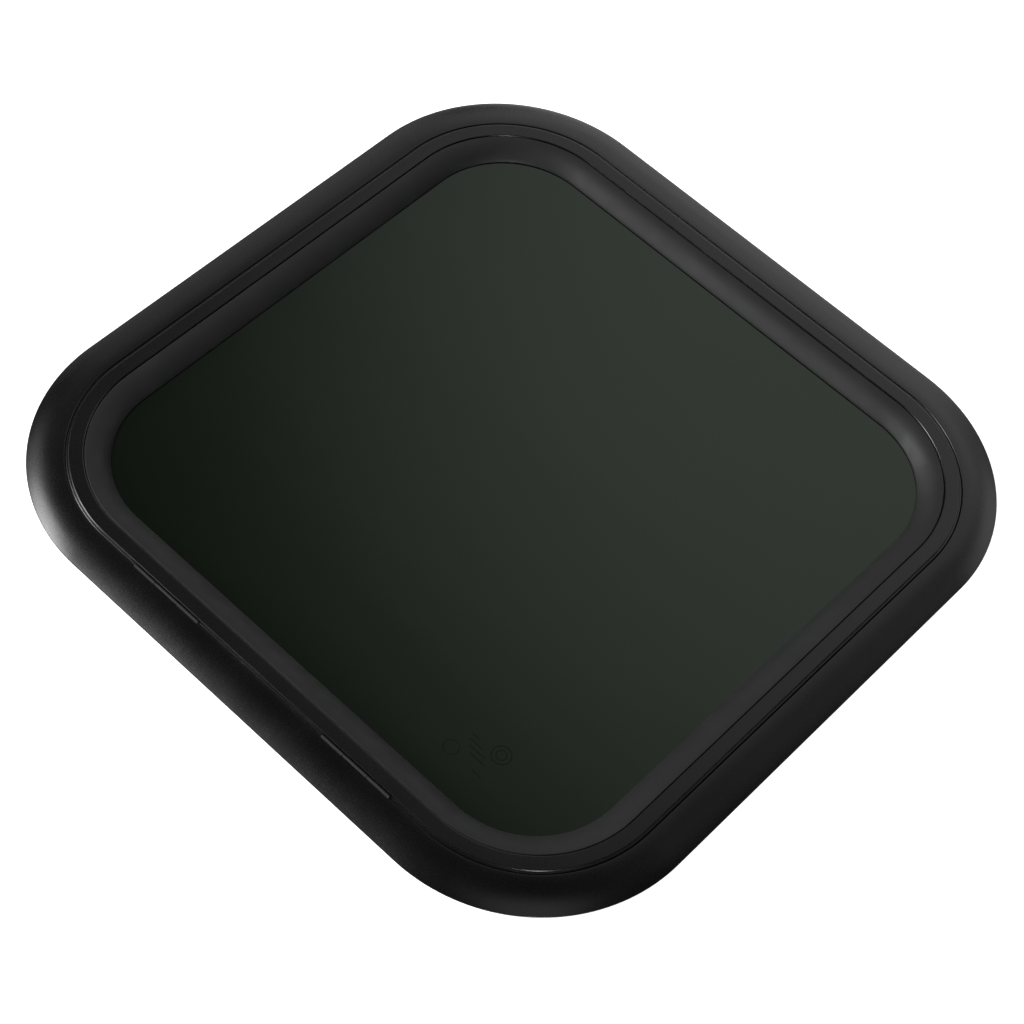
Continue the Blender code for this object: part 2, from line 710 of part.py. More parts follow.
def make_keeper(side, x):
    """A strike plate under the base ledge, where the handle's tongue bears."""
    low = (x - KEEPER_HALF_LENGTH, side_y(KEEPER_OUTER, -1))
    high = (x + KEEPER_HALF_LENGTH, side_y(KEEPER_INNER, -1))
    bm = bmesh.new()
    add_prism(bm, rounded_rectangle(low, high, KEEPER_ROUND, 2), KEEPER_BOTTOM, KEEPER_TOP)
    name = f"keeper_{side}"
    plate = add_object(name, mesh_from(name, bm), "stainless")
    holes = bmesh.new()
    y = side_y(KEEPER_SCREW_INSET, -1)
    offsets = (-KEEPER_SCREW_SPREAD, KEEPER_SCREW_SPREAD)
    for offset in offsets:
        add_rod(holes, SMALL_HOLE, KEEPER_BOTTOM - CUT_PAST, KEEPER_TOP + CUT_PAST, x + offset, y)
    combine(plate, add_helper(f"{name}_holes", holes), "DIFFERENCE")
    seat = KEEPER_BOTTOM - FIT_GAP
    head = SMALL_HEAD, KEEPER_SCREW_HEAD_HEIGHT
    mesh = screw_mesh(f"{name}_screw", SMALL_SHANK, *head, KEEPER_SCREW_TIP - seat)
    for number, offset in enumerate(offsets, start=1):
        add_object(f"{name}_screw_{number}", mesh, "stainless", location=(x + offset, y, seat))


def make_housing(side, x, y, lid_axis):
    """The bearing block under the lid's ledge that holds the spindle."""
    low = (x - HOUSING_HALF_LENGTH, y - HOUSING_TO_FRAME)
    high = (x + HOUSING_HALF_LENGTH, y + HOUSING_TO_CENTRE)
    bm = bmesh.new()
    add_prism(bm, rounded_rectangle(low, high, HOUSING_ROUND), HOUSING_BOTTOM, HOUSING_TOP)
    name = f"handle_{side}_housing"
    housing = add_object(name, mesh_from(name, bm), "black_plastic", lid_axis)
    seat = HOUSING_BOTTOM + HOUSING_COUNTERBORE_DEPTH
    holes = bmesh.new()
    add_rod(holes, SPINDLE_RADIUS + FIT_GAP, HOUSING_BOTTOM - CUT_PAST, HOUSING_TOP, x, y, ROUND_SEGMENTS)
    counterbores = bmesh.new()
    collar_low = SPINDLE_COLLAR_BOTTOM - FIT_GAP
    collar_radius = SPINDLE_COLLAR_RADIUS + FIT_GAP
    add_rod(counterbores, collar_radius, collar_low, HOUSING_TOP + CUT_PAST, x, y, ROUND_SEGMENTS)
    for offset in (-HOUSING_SCREW_SPREAD, HOUSING_SCREW_SPREAD):
        place = (x + offset, y - HOUSING_SCREW_OFFSET)
        add_rod(holes, SMALL_HOLE, seat - CUT_PAST, HOUSING_TOP + CUT_PAST, *place)
        add_rod(counterbores, SMALL_COUNTERBORE, HOUSING_BOTTOM - CUT_PAST, seat, *place, SCREW_SEGMENTS)
    combine(housing, add_helper(f"{name}_holes", holes), "DIFFERENCE")
    combine(housing, add_helper(f"{name}_counterbores", counterbores), "DIFFERENCE")
    under_head = seat - FIT_GAP
    head = SMALL_HEAD, HOUSING_SCREW_HEAD_HEIGHT
    mesh = screw_mesh(f"{name}_screw", SMALL_SHANK, *head, HOUSING_SCREW_TIP - under_head)
    for number, offset in enumerate((-HOUSING_SCREW_SPREAD, HOUSING_SCREW_SPREAD), start=1):
        place = (x + offset, y - HOUSING_SCREW_OFFSET, under_head)
        add_object(f"{name}_screw_{number}", mesh, "stainless", lid_axis, place)


def make_spindle(side, axis):
    """A collar, a round journal and a square that drives the tongue and the lever."""
    bm = bmesh.new()
    half = SPINDLE_SQUARE / 2
    profile = [
        (SPINDLE_COLLAR_RADIUS, SPINDLE_TOP),
        (SPINDLE_COLLAR_RADIUS, SPINDLE_COLLAR_BOTTOM),
        (SPINDLE_RADIUS, SPINDLE_COLLAR_BOTTOM),
        (SPINDLE_RADIUS, SPINDLE_SHOULDER),
    ]
    add_turned(bm, profile, ROUND_SEGMENTS)
    name = f"handle_{side}_spindle"
    spindle = add_object(name, mesh_from(name, bm), "stainless", axis, (*axis.location.xy, 0))
    square = bmesh.new()
    add_box(square, (-half, -half, SPINDLE_BOTTOM), (half, half, SPINDLE_SHOULDER + CUT_PAST))
    tapped = bmesh.new()
    add_rod(tapped, LEVER_SCREW_HOLE, SPINDLE_BOTTOM - CUT_PAST, SPINDLE_TAPPED_TOP)
    for label, helper_bm, operation in (("square", square, "UNION"), ("tapped", tapped, "DIFFERENCE")):
        helper = add_helper(f"{name}_{label}", helper_bm)
        helper.location = (*axis.location.xy, 0)
        combine(spindle, helper, operation)


def square_cutter(name, axis, low, high):
    """Clearance for the spindle's square."""
    half = SPINDLE_SQUARE / 2 + FIT_GAP
    bm = bmesh.new()
    add_box(bm, (-half, -half, low), (half, half, high))
    helper = add_helper(name, bm)
    helper.location = (*axis.location.xy, 0)
    return helper


def tongue_outline():
    """A round hub with a straight blade towards +X."""
    reach = math.acos(TONGUE_HALF_WIDTH / TONGUE_HUB_RADIUS)
    start = math.pi / 2 - reach
    hub = arc((0, 0), TONGUE_HUB_RADIUS, start, 2 * math.pi - start, 12)
    blade = [
        (TONGUE_REACH - TONGUE_CORNER, -TONGUE_HALF_WIDTH),
        (TONGUE_REACH, -TONGUE_HALF_WIDTH + TONGUE_CORNER),
        (TONGUE_REACH, TONGUE_HALF_WIDTH - TONGUE_CORNER),
        (TONGUE_REACH - TONGUE_CORNER, TONGUE_HALF_WIDTH),
    ]
    return hub + blade


def make_tongue(side, axis, toward_middle):
    """The plate that turns under the keeper. Unlatched, its blade points to the hatch's middle line."""
    bm = bmesh.new()
    add_prism(bm, tongue_outline(), TONGUE_BOTTOM, TONGUE_TOP)
    if toward_middle < 0:
        bmesh.ops.rotate(bm, verts=bm.verts, matrix=Matrix.Rotation(math.pi, 3, "Z"))
    name = f"handle_{side}_tongue"
    tongue = add_object(name, mesh_from(name, bm), "stainless", axis, (*axis.location.xy, 0))
    cutter = square_cutter(f"{name}_square", axis, TONGUE_BOTTOM - CUT_PAST, TONGUE_TOP + CUT_PAST)
    combine(tongue, cutter, "DIFFERENCE")


def lever_loop(along):
    """The lever's section at this distance from the spindle: a flat bar with eased edges."""
    share = min(max((along - LEVER_NECK_START) / (LEVER_REACH - LEVER_NECK_START), 0), 1)
    width = LEVER_NECK_HALF_WIDTH + (LEVER_TIP_HALF_WIDTH - LEVER_NECK_HALF_WIDTH) * share
    if along < LEVER_HUB_RADIUS:
        hub = math.sqrt(max(LEVER_HUB_RADIUS**2 - along**2, 0))
        width = max(hub, width) if along > 0 else hub
    tip = LEVER_TIP_HALF_WIDTH
    from_end = LEVER_REACH - along
    if from_end < tip:
        width = min(width, math.sqrt(max(tip**2 - (tip - from_end) ** 2, 0)))
    width = max(width, LEVER_END_HALF_WIDTH)
    top = LEVER_TOP + (LEVER_TIP_TOP - LEVER_TOP) * share
    edge = LEVER_EDGE
    outline = [
        (-width + edge, LEVER_BOTTOM),
        (width - edge, LEVER_BOTTOM),
        (width, LEVER_BOTTOM + edge),
        (width, top - edge / 2),
        (width - edge / 2, top),
        (-width + edge / 2, top),
        (-width, top - edge / 2),
        (-width, LEVER_BOTTOM + edge),
    ]
    return [Vector((x, along, z)) for x, z in outline]


def make_lever(side, axis):
    span = LEVER_REACH + LEVER_HUB_RADIUS
    bm = bmesh.new()
    loops = []
    for station in range(LEVER_STATIONS + 1):
        eased = (1 - math.cos(math.pi * station / LEVER_STATIONS)) / 2
        loops.append(lever_loop(-LEVER_HUB_RADIUS + span * eased))
    join_loops(bm, loops, closed=False)
    name = f"handle_{side}_lever"
    lever = add_object(name, mesh_from(name, bm), "black_plastic", axis, (*axis.location.xy, 0))
    socket = square_cutter(f"{name}_socket", axis, LEVER_SOCKET_BOTTOM, LEVER_TOP + CUT_PAST)
    combine(lever, socket, "DIFFERENCE")
    screw_hole = bmesh.new()
    low = LEVER_COUNTERBORE_TOP - CUT_PAST
    add_rod(screw_hole, LEVER_SCREW_HOLE, low, LEVER_SOCKET_BOTTOM + CUT_PAST)
    counterbore = bmesh.new()
    low = LEVER_BOTTOM - CUT_PAST
    add_rod(counterbore, LEVER_COUNTERBORE_RADIUS, low, LEVER_COUNTERBORE_TOP, segments=ROUND_SEGMENTS)
    for label, helper_bm in (("screw_hole", screw_hole), ("counterbore", counterbore)):
        helper = add_helper(f"{name}_{label}", helper_bm)
        helper.location = (*axis.location.xy, 0)
        combine(lever, helper, "DIFFERENCE")


def make_washer(side, axis):
    bore = SPINDLE_RADIUS + FIT_GAP
    profile = [
        (bore, WASHER_TOP),
        (bore, WASHER_BOTTOM),
        (WASHER_RADIUS, WASHER_BOTTOM),
        (WASHER_RADIUS, WASHER_TOP),
    ]
    bm = bmesh.new()
    add_turned(bm, profile, ROUND_SEGMENTS, closed=True)
    name = f"handle_{side}_washer"
    add_object(name, mesh_from(name, bm), "acetal", axis, (*axis.location.xy, 0))


def make_handle(side, x, lid_axis):
    y = side_y(SPINDLE_INSET, -1)
    axis = add_axis(f"handle_{side}_axis", (x, y, 0))
    make_housing(side, x, y, lid_axis)
    make_spindle(side, axis)
    make_washer(side, axis)
    make_tongue(side, axis, toward_middle=-math.copysign(1, x))
    make_lever(side, axis)
    seat = LEVER_COUNTERBORE_TOP - FIT_GAP
    name = f"handle_{side}_screw"
    head = LEVER_SCREW_HEAD, LEVER_SCREW_HEAD_HEIGHT
    mesh = screw_mesh(name, LEVER_SCREW_SHANK, *head, LEVER_SCREW_TIP - seat)
    add_object(name, mesh, "stainless", axis, (x, y, seat))


def main():
    clear_scene()
    lid_axis = add_axis("lid_axis", (0, side_y(HINGE_AXIS_INSET, 1), HINGE_AXIS_HEIGHT))
    make_base()
    make_lid(lid_axis)
    for side, x in hinge_places().items():
        make_hinge(side, x, lid_axis)
    for side, x in handle_places().items():
        make_keeper(side, x)
        make_handle(side, x, lid_axis)


main()
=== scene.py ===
"""The looks of a flush deck hatch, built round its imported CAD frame.

Metres, +Z out of the deck, hinges at +Y, handles at -Y. Sections are (inset, height, fillet radius)
points, where inset is how far a point lies inside the flange's outer edge.
"""

import json
import math
from collections import namedtuple

import bmesh
import bpy
from mathutils import Matrix, Vector

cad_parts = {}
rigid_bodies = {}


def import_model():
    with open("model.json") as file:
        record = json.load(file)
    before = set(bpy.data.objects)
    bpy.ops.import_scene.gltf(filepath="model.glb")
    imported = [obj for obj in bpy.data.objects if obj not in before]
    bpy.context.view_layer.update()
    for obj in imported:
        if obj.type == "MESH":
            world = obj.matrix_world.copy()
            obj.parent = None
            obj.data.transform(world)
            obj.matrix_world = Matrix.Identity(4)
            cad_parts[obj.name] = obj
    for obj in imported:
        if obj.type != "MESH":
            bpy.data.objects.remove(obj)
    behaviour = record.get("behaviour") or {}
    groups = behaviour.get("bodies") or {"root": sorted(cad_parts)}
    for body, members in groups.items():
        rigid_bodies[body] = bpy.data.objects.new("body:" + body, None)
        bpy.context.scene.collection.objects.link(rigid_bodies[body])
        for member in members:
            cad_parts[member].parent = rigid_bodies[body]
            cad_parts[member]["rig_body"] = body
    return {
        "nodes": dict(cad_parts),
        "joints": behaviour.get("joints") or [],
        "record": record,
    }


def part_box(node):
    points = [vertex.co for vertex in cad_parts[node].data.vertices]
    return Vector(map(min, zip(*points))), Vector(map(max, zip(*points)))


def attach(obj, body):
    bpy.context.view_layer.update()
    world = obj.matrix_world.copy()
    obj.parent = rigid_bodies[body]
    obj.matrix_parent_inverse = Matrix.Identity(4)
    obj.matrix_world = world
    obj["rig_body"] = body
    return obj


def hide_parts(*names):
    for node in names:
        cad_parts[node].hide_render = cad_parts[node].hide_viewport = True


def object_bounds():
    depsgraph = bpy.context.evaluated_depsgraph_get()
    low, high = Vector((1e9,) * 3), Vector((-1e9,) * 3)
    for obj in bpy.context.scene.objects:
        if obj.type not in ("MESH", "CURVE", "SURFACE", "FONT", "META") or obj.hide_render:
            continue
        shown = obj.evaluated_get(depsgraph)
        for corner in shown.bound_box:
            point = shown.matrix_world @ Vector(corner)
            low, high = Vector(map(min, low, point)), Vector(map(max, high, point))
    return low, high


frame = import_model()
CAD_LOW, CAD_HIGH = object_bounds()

NODE_SLOTS = {part["node"]: part["material_slot"] for part in frame["record"]["subparts"]}

# The rounded square that every ring follows, from the frame.
HALF_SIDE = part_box("base_frame")[1].x
CORNER_RADIUS = 0.115
CORNER_STEPS = 40
SIDE_STEPS = 12

# Shared by the pieces. CUT_OVER is how far a cutter goes past the face that it cuts.
FIT_GAP = 0.0003
CUT_OVER = 0.001
FILLET_STEPS = 4
FINE_FILLET_STEPS = 6
PLATE_CORNER_STEPS = 8
TURN_SEGMENTS = 32
HOLE_SEGMENTS = 16
ROD_EASE_SHARE = 0.12
SHARP_ANGLE = math.radians(42)
EASE_ANGLE = math.radians(50)


def inset_of(node):
    """How far a node's outside lies inside the flange's outer edge."""
    return HALF_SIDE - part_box(node)[1].x


# Heights and insets that the fine sections share with the frame.
DECK_TOP = 0.0
BASE_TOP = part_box("base_frame")[1].z
BASE_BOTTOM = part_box("base_frame")[0].z
LIP_OUTER = inset_of("lid_frame")
LID_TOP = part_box("lid_frame")[1].z
LID_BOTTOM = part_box("lid_frame")[0].z
GLASS_OUTER = inset_of("glass_pane")
GLASS_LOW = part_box("glass_pane")[0].z
GLASS_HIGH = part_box("glass_pane")[1].z
RUBBER_OUTER = inset_of("glazing_rubber")
RUBBER_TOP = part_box("glazing_rubber")[1].z
SEAL_OUTER = inset_of("compression_seal")
SEAL_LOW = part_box("compression_seal")[0].z
SEAL_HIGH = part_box("compression_seal")[1].z
TAPE_OUTER = inset_of("glazing_tape")
TAPE_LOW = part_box("glazing_tape")[0].z
TAPE_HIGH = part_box("glazing_tape")[1].z
CLAMP_OUTER = inset_of("clamp_ring")
CLAMP_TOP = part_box("clamp_ring")[1].z
CLAMP_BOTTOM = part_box("clamp_ring")[0].z
GASKET_OUTER = inset_of("flange_gasket")

# Base frame.
CROWN_RADIUS = 0.060
CROWN_END = 0.0233
CROWN_MIDDLE = 0.0250
CROWN_STEPS = 22
FLANGE_EDGE = 0.0007
FLANGE_EDGE_STEPS = 5
FLANGE_SHELL = 0.0020
FLANGE_RIM = 0.0052
FLANGE_RIM_EASE = 0.0004
FLANGE_HOLLOW = (0.0170, 0.0120, 0.0080)
GROOVE_OUTER = 0.0238
WALL_OUTER = 0.0206
LIP_ROUND = 0.0006
LIP_START = math.radians(78)
LIP_STEPS = 7
LEDGE_TOP = -0.0160
LEDGE_BOTTOM = -0.0185
DAM_OUTER = 0.0418
DAM_INNER = 0.0438
DAM_TOP = -0.0134
RIB_OUTER = 0.0256
RIB_INNER = 0.0314

# Lid frame. A weather lip on its outer wall, level with the flange, steps up to the band.
LID_OUTER = 0.0256
LID_WALL = 0.0023
LID_ROUND = 0.00085
LIP_TOP = 0.0062
LIP_EDGE = 0.0008
LIP_BOTTOM = 0.0050
BAND_INNER = 0.0353
BAND_INNER_WALL = 0.0333
BAND_ROUND = 0.0008
LID_LEDGE_TOP = -0.0104
LID_LEDGE_INNER = 0.0580

# Glazing.
RUBBER_TOE = (0.0510, -0.0012)
RUBBER_TOE_DROP = 0.0003
RUBBER_CREST = 0.0362
RUBBER_SHOULDER = 0.0006
SHOULDER_END = math.radians(100)
RUBBER_INNER = 0.0515
RUBBER_LEG = 0.0367
RUBBER_BEND = math.radians(22.5)
RUBBER_STEPS = 18
GLASS_CHAMFER = 0.0006
GLASS_SHARP_ANGLE = math.radians(20)
TAPE_INNER = 0.0560

# Seals.
SEAL_INNER = 0.0405
SEAL_FOOT_SHARE = 0.25
SEAL_STEPS = 14
GASKET_INNER = 0.0198
GASKET_STATIONS = (0.0155, 0.0110)
GASKET_CLEARANCE = 0.0005

# Clamp ring.
CLAMP_LEG_OUTER = 0.0176
CLAMP_LEG_INNER = 0.0198
CLAMP_THICKNESS = 0.0022
CLAMP_TRIM_INNER = 0.0460
CLAMP_HOLE = 0.0023
CLAMP_PILOT = 0.0021
CLAMP_SEGMENTS = 24
CLAMP_COUNT = 12

# Hinges. The notches are the pockets that their knuckles sit in.
SIDES = ("left", "right")
HINGE_AXIS = Vector(next(j["pos_m"] for j in frame["joints"] if j["name"] == "lid_hinge"))
NOTCH_DEPTH = 0.00165
KNUCKLE_RADIUS = 0.0011
KNUCKLE_BORE = 0.00065
PIN_RADIUS = 0.00055
KNUCKLE_GAP = 0.0004
KNUCKLE_MIDDLE = 0.0192
LEAF_FACE = 0.00075
LEAF_THICKNESS = 0.0006
LEAF_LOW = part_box("hinge_left_base_leaf")[0].z
LEAF_SCREW_HOLE = 0.0013
LEAF_HOLE_LENGTH = 0.004
LEAF_HOLE_SEGMENTS = 20
LEAF_BORE_SHARE = 1.2
WALL_HOLE_LENGTH = 0.008
SMALL_HOLE = 0.0016

# Screws. Shank and head are radii.
Screw = namedtuple("Screw", "shank head head_height recess")
CLAMP_SCREW = Screw(0.0018, 0.0040, 0.0023, 0.0014)
KEEPER_SCREW = Screw(0.0013, 0.0027, 0.0010, 0.0007)
HOUSING_SCREW = Screw(0.0013, 0.0027, 0.0012, 0.0008)
HANDLE_SCREW = Screw(0.0017, 0.0040, 0.0017, 0.0011)
LEAF_SCREW = Screw(0.0010, 0.0022, 0.0006, 0.0004)
SCREW_SEGMENTS = 24
DOME_START = math.radians(80)
DOME_STEPS = 8
DOME_RIM_SHARE = 0.35
PITCH_SHARE = 0.55
THREAD_ROOT = 0.86
RECESS_ARM = 0.62
RECESS_BLADE = 0.13
RECESS_TAPER = 0.55
RECESS_OVER = 0.0005
FIRST_SCREW_TURN = 11
SCREW_TURN = 37


def shade(mesh, angle=SHARP_ANGLE):
    """Smooth shading, broken along edges that turn by more than the angle."""
    mesh.shade_smooth()
    mesh.set_sharp_from_angle(angle=angle)


def smooth_mesh(name, bm, angle=SHARP_ANGLE):
    """A shaded mesh of the bmesh, which is used up."""
    bmesh.ops.recalc_face_normals(bm, faces=bm.faces)
    mesh = bpy.data.meshes.new(name)
    bm.to_mesh(mesh)
    bm.free()
    shade(mesh, angle)
    return mesh


def join_loops(bm, loops, closed):
    """Skin a row of equal vertex loops. A closed row meets itself, an open one gets flat ends."""
    rows = [[bm.verts.new(point) for point in loop] for loop in loops]
    pairs = list(zip(rows, rows[1:]))
    if closed:
        pairs.append((rows[-1], rows[0]))
    else:
        bm.faces.new(rows[0])
        bm.faces.new(list(reversed(rows[-1])))
    for row, following in pairs:
        for k in range(len(row)):
            after = (k + 1) % len(row)
            bm.faces.new((row[k], following[k], following[after], row[after]))


def arc(centre, radius, start, end, steps):
    """Points along a circle from one angle to another, with both ends."""
    angles = [start + (end - start) * step / steps for step in range(steps + 1)]
    return [(centre[0] + radius * math.cos(a), centre[1] + radius * math.sin(a)) for a in angles]


def bent_line(start, end, bend, steps):
    """An arc between two points that turns right by bend on each side of their chord."""
    chord = Vector(end) - Vector(start)
    radius = chord.length / (2 * math.sin(bend))
    right = Vector((chord.y, -chord.x)).normalized()
    centre = (Vector(start) + Vector(end)) / 2 + right * radius * math.cos(bend)
    heading = math.atan2(-right.y, -right.x)
    return arc(centre, radius, heading + bend, heading - bend, steps)


def filleted(points, steps=FILLET_STEPS):
    """The outline with each corner that has a third number rounded to that radius."""
    outline = []
    for k, point in enumerate(points):
        corner = Vector(point[:2])
        radius = point[2] if len(point) > 2 else 0
        if not radius:
            outline.append(tuple(corner))
            continue
        before = (Vector(points[k - 1][:2]) - corner).normalized()
        after = (Vector(points[(k + 1) % len(points)][:2]) - corner).normalized()
        half = before.angle(after) / 2
        centre = corner + (before + after).normalized() * (radius / math.sin(half))
        start = corner + before * (radius / math.tan(half)) - centre
        end = corner + after * (radius / math.tan(half)) - centre
        first = math.atan2(start.y, start.x)
        turn = math.atan2(start.cross(end), start.dot(end))
        outline += arc(centre, radius, first, first + turn, steps)
    return outline


def ring_loop(inset, height):
    """A rounded square, this far inside the flange's outer edge."""
    radius = CORNER_RADIUS - inset
    reach = HALF_SIDE - CORNER_RADIUS
    quarter_points = arc((reach, reach), radius, 0, math.pi / 2, CORNER_STEPS)
    x, y = quarter_points[-1]
    for step in range(1, SIDE_STEPS):
        quarter_points.append((x - 2 * reach * step / SIDE_STEPS, y))
    points = []
    for quarter in range(4):
        turn = Matrix.Rotation(quarter * math.pi / 2, 3, "Z")
        points += [turn @ Vector((px, py, height)) for px, py in quarter_points]
    return points


def ring_mesh(name, section):
    """The section carried round the rounded square."""
    bm = bmesh.new()
    join_loops(bm, [ring_loop(inset, height) for inset, height in section], closed=True)
    return smooth_mesh(name, bm)


def add_turned(bm, profile, segments=TURN_SEGMENTS, closed=False, centre=(0, 0, 0), turn=Matrix()):
    """A body of revolution from (radius, height) points about z, then turned and moved."""
    place = Matrix.Translation(centre) @ turn
    loops = []
    for radius, height in profile:
        circle = arc((0, 0), radius, 0, 2 * math.pi, segments)[:-1]
        loops.append([place @ Vector((x, y, height)) for x, y in circle])
    join_loops(bm, loops, closed)


def add_rod(bm, radius, low, high, x, y, segments=TURN_SEGMENTS):
    add_turned(bm, [(radius, low), (radius, high)], segments, centre=(x, y, 0))


def add_hole(bm, radius, low, high, spot, segments=TURN_SEGMENTS):
    """An upright cutter through two faces."""
    add_rod(bm, radius, low - CUT_OVER, high + CUT_OVER, spot.x, spot.y, segments)


def add_cross_rod(bm, radius, centre, length, along="X", segments=TURN_SEGMENTS):
    """A rod that lies along x or y, with eased ends."""
    turn = Matrix.Rotation(math.pi / 2, 4, "Y" if along == "X" else "X")
    half = length / 2
    ease = radius * ROD_EASE_SHARE
    profile = [(radius - ease, -half), (radius, ease - half), (radius, half - ease), (radius - ease, half)]
    add_turned(bm, profile, segments, centre=centre, turn=turn)


def add_prism(bm, outline, low, high):
    """The (x, y) outline, upright from low to high."""
    join_loops(bm, [[Vector((x, y, z)) for x, y in outline] for z in (low, high)], closed=False)


def add_box(bm, low, high):
    outline = [(low[0], low[1]), (high[0], low[1]), (high[0], high[1]), (low[0], high[1])]
    add_prism(bm, outline, low[2], high[2])


def rounded_box_outline(low, high, radius):
    corners = ((high[0], high[1]), (low[0], high[1]), (low[0], low[1]), (high[0], low[1]))
    return filleted([(x, y, radius) for x, y in corners], steps=PLATE_CORNER_STEPS)


def new_object(name, mesh):
    obj = bpy.data.objects.new(name, mesh)
    bpy.context.scene.collection.objects.link(obj)
    return obj


def baked(obj):
    """The object's mesh with its modifiers applied."""
    graph = bpy.context.evaluated_depsgraph_get()
    graph.update()
    return bpy.data.meshes.new_from_object(obj.evaluated_get(graph), depsgraph=graph)


def boolean(mesh, steps, bevel=0.0):
    """The mesh after each (operation, bmesh) step, then with its edges eased by bevel."""
    work = new_object("work", mesh)
    helpers = []
    for operation, bm in steps:
        helper = new_object("helper", smooth_mesh("helper", bm))
        helpers.append(helper)
        modifier = work.modifiers.new(operation, "BOOLEAN")
        modifier.operation = operation
        modifier.solver = "EXACT"
        modifier.object = helper
    if bevel:
        modifier = work.modifiers.new("ease", "BEVEL")
        modifier.width = bevel
        modifier.segments = 2
        modifier.limit_method = "ANGLE"
        modifier.angle_limit = EASE_ANGLE
    made = baked(work)
    shade(made)
    for obj in (work, *helpers):
        bpy.data.objects.remove(obj)
    made.name = mesh.name
    return made


def evened(mesh):
    """The mesh with normals that follow its larger faces, so that a flat beside a rounding looks flat."""
    work = new_object("work", mesh)
    work.modifiers.new("even", "WEIGHTED_NORMAL").keep_sharp = True
    made = baked(work)
    bpy.data.objects.remove(work)
    made.name = mesh.name
    return made


def finished(node, mesh, location=(0, 0, 0), rotation=(0, 0, 0)):
    """Place the fine piece of a CAD node, on that node's body and in its material."""
    mesh = evened(mesh)
    obj = new_object(node + "_fine", mesh)
    obj.location = location
    obj.rotation_euler = rotation
    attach(obj, frame["nodes"][node]["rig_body"])
    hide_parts(node)
    slot = NODE_SLOTS[node]
    mesh.materials.append(slot_material(slot))


def crown_height(inset):
    """Height of the flange's crowned top, an arc that is level at its middle and ends at BASE_TOP."""
    arc_base = BASE_TOP - math.sqrt(CROWN_RADIUS**2 - (CROWN_MIDDLE - CROWN_END) ** 2)
    return arc_base + math.sqrt(CROWN_RADIUS**2 - (CROWN_MIDDLE - inset) ** 2)


def base_section():
    """The flange's edge and crown, the groove's lip, then down, inwards and back out underneath."""
    insets = [FLANGE_EDGE + (CROWN_END - FLANGE_EDGE) * step / CROWN_STEPS for step in range(CROWN_STEPS + 1)]
    crown = [(inset, crown_height(inset)) for inset in insets]
    slope = math.atan2(crown[1][1] - crown[0][1], crown[1][0] - crown[0][0])
    edge_centre = (FLANGE_EDGE, crown_height(FLANGE_EDGE) - FLANGE_EDGE / math.cos(slope))
    edge = arc(edge_centre, FLANGE_EDGE, math.pi, math.pi / 2 + slope, FLANGE_EDGE_STEPS)
    lip_centre = (GROOVE_OUTER - LIP_ROUND, BASE_TOP - LIP_ROUND)
    lip = arc(lip_centre, LIP_ROUND, LIP_START, 0, LIP_STEPS)
    hollow = [(inset, crown_height(inset) - FLANGE_SHELL) for inset in FLANGE_HOLLOW]
    rest = filleted([
        (GROOVE_OUTER, LEDGE_TOP, 0.0008),
        (DAM_OUTER, LEDGE_TOP, 0.0005),
        (DAM_OUTER, DAM_TOP, 0.0004),
        (DAM_INNER, DAM_TOP, 0.0004),
        (DAM_INNER, LEDGE_BOTTOM, 0.0006),
        (RIB_INNER, LEDGE_BOTTOM, 0.0008),
        (RIB_INNER, BASE_BOTTOM, 0.0005),
        (RIB_OUTER, BASE_BOTTOM, 0.0005),
        (RIB_OUTER, LEDGE_BOTTOM, 0.0006),
        (WALL_OUTER, LEDGE_BOTTOM, 0.0006),
        (WALL_OUTER, crown_height(WALL_OUTER) - FLANGE_SHELL, 0.0015),
        *hollow,
        (FLANGE_RIM + FLANGE_RIM_EASE, crown_height(FLANGE_RIM) - FLANGE_SHELL, FLANGE_RIM_EASE),
        (FLANGE_RIM, DECK_TOP, 0.0002),
        (0, DECK_TOP, 0.0003),
    ])
    return [*edge, *crown[1:-1], *lip, *rest]


def lid_section():
    """A channel open downwards: the outer wall with its lip, the band, the inner wall and the glass ledge."""
    roof = LID_TOP - LID_WALL
    return filleted([
        (LID_OUTER, LID_BOTTOM, 0.0004),
        (LID_OUTER, LIP_BOTTOM),
        (LIP_OUTER, LIP_BOTTOM, 0.0002),
        (LIP_OUTER, LIP_TOP, LIP_EDGE),
        (LID_OUTER, LIP_TOP, 0.0002),
        (LID_OUTER, LID_TOP, LID_ROUND),
        (BAND_INNER, LID_TOP, BAND_ROUND),
        (BAND_INNER, LID_LEDGE_TOP, 0.0006),
        (LID_LEDGE_INNER, LID_LEDGE_TOP, 0.0006),
        (LID_LEDGE_INNER, LID_BOTTOM, 0.0006),
        (BAND_INNER_WALL, LID_BOTTOM, 0.0004),
        (BAND_INNER_WALL, roof, 0.0006),
        (LID_OUTER + LID_WALL, roof, 0.0006),
        (LID_OUTER + LID_WALL, LID_BOTTOM, 0.0004),
    ], steps=FINE_FILLET_STEPS)


def rubber_section():
    """The bead that falls to the glass, and the leg that fills the gap beside the pane."""
    foot = GLASS_HIGH + FIT_GAP
    leg_low = LID_LEDGE_TOP + FIT_GAP
    crest = (RUBBER_CREST, RUBBER_TOP)
    bead = bent_line(crest, RUBBER_TOE, RUBBER_BEND, RUBBER_STEPS)
    shoulder_centre = (RUBBER_CREST, RUBBER_TOP - RUBBER_SHOULDER)
    shoulder = arc(shoulder_centre, RUBBER_SHOULDER, math.pi, SHOULDER_END, FILLET_STEPS)
    rest = filleted([
        (RUBBER_INNER, RUBBER_TOE[1] - RUBBER_TOE_DROP, 0.0002),
        (RUBBER_INNER, foot, 0.0002),
        (RUBBER_LEG, foot),
        (RUBBER_LEG, leg_low),
        (RUBBER_OUTER, leg_low),
    ])
    return [*shoulder, *bead, *rest]


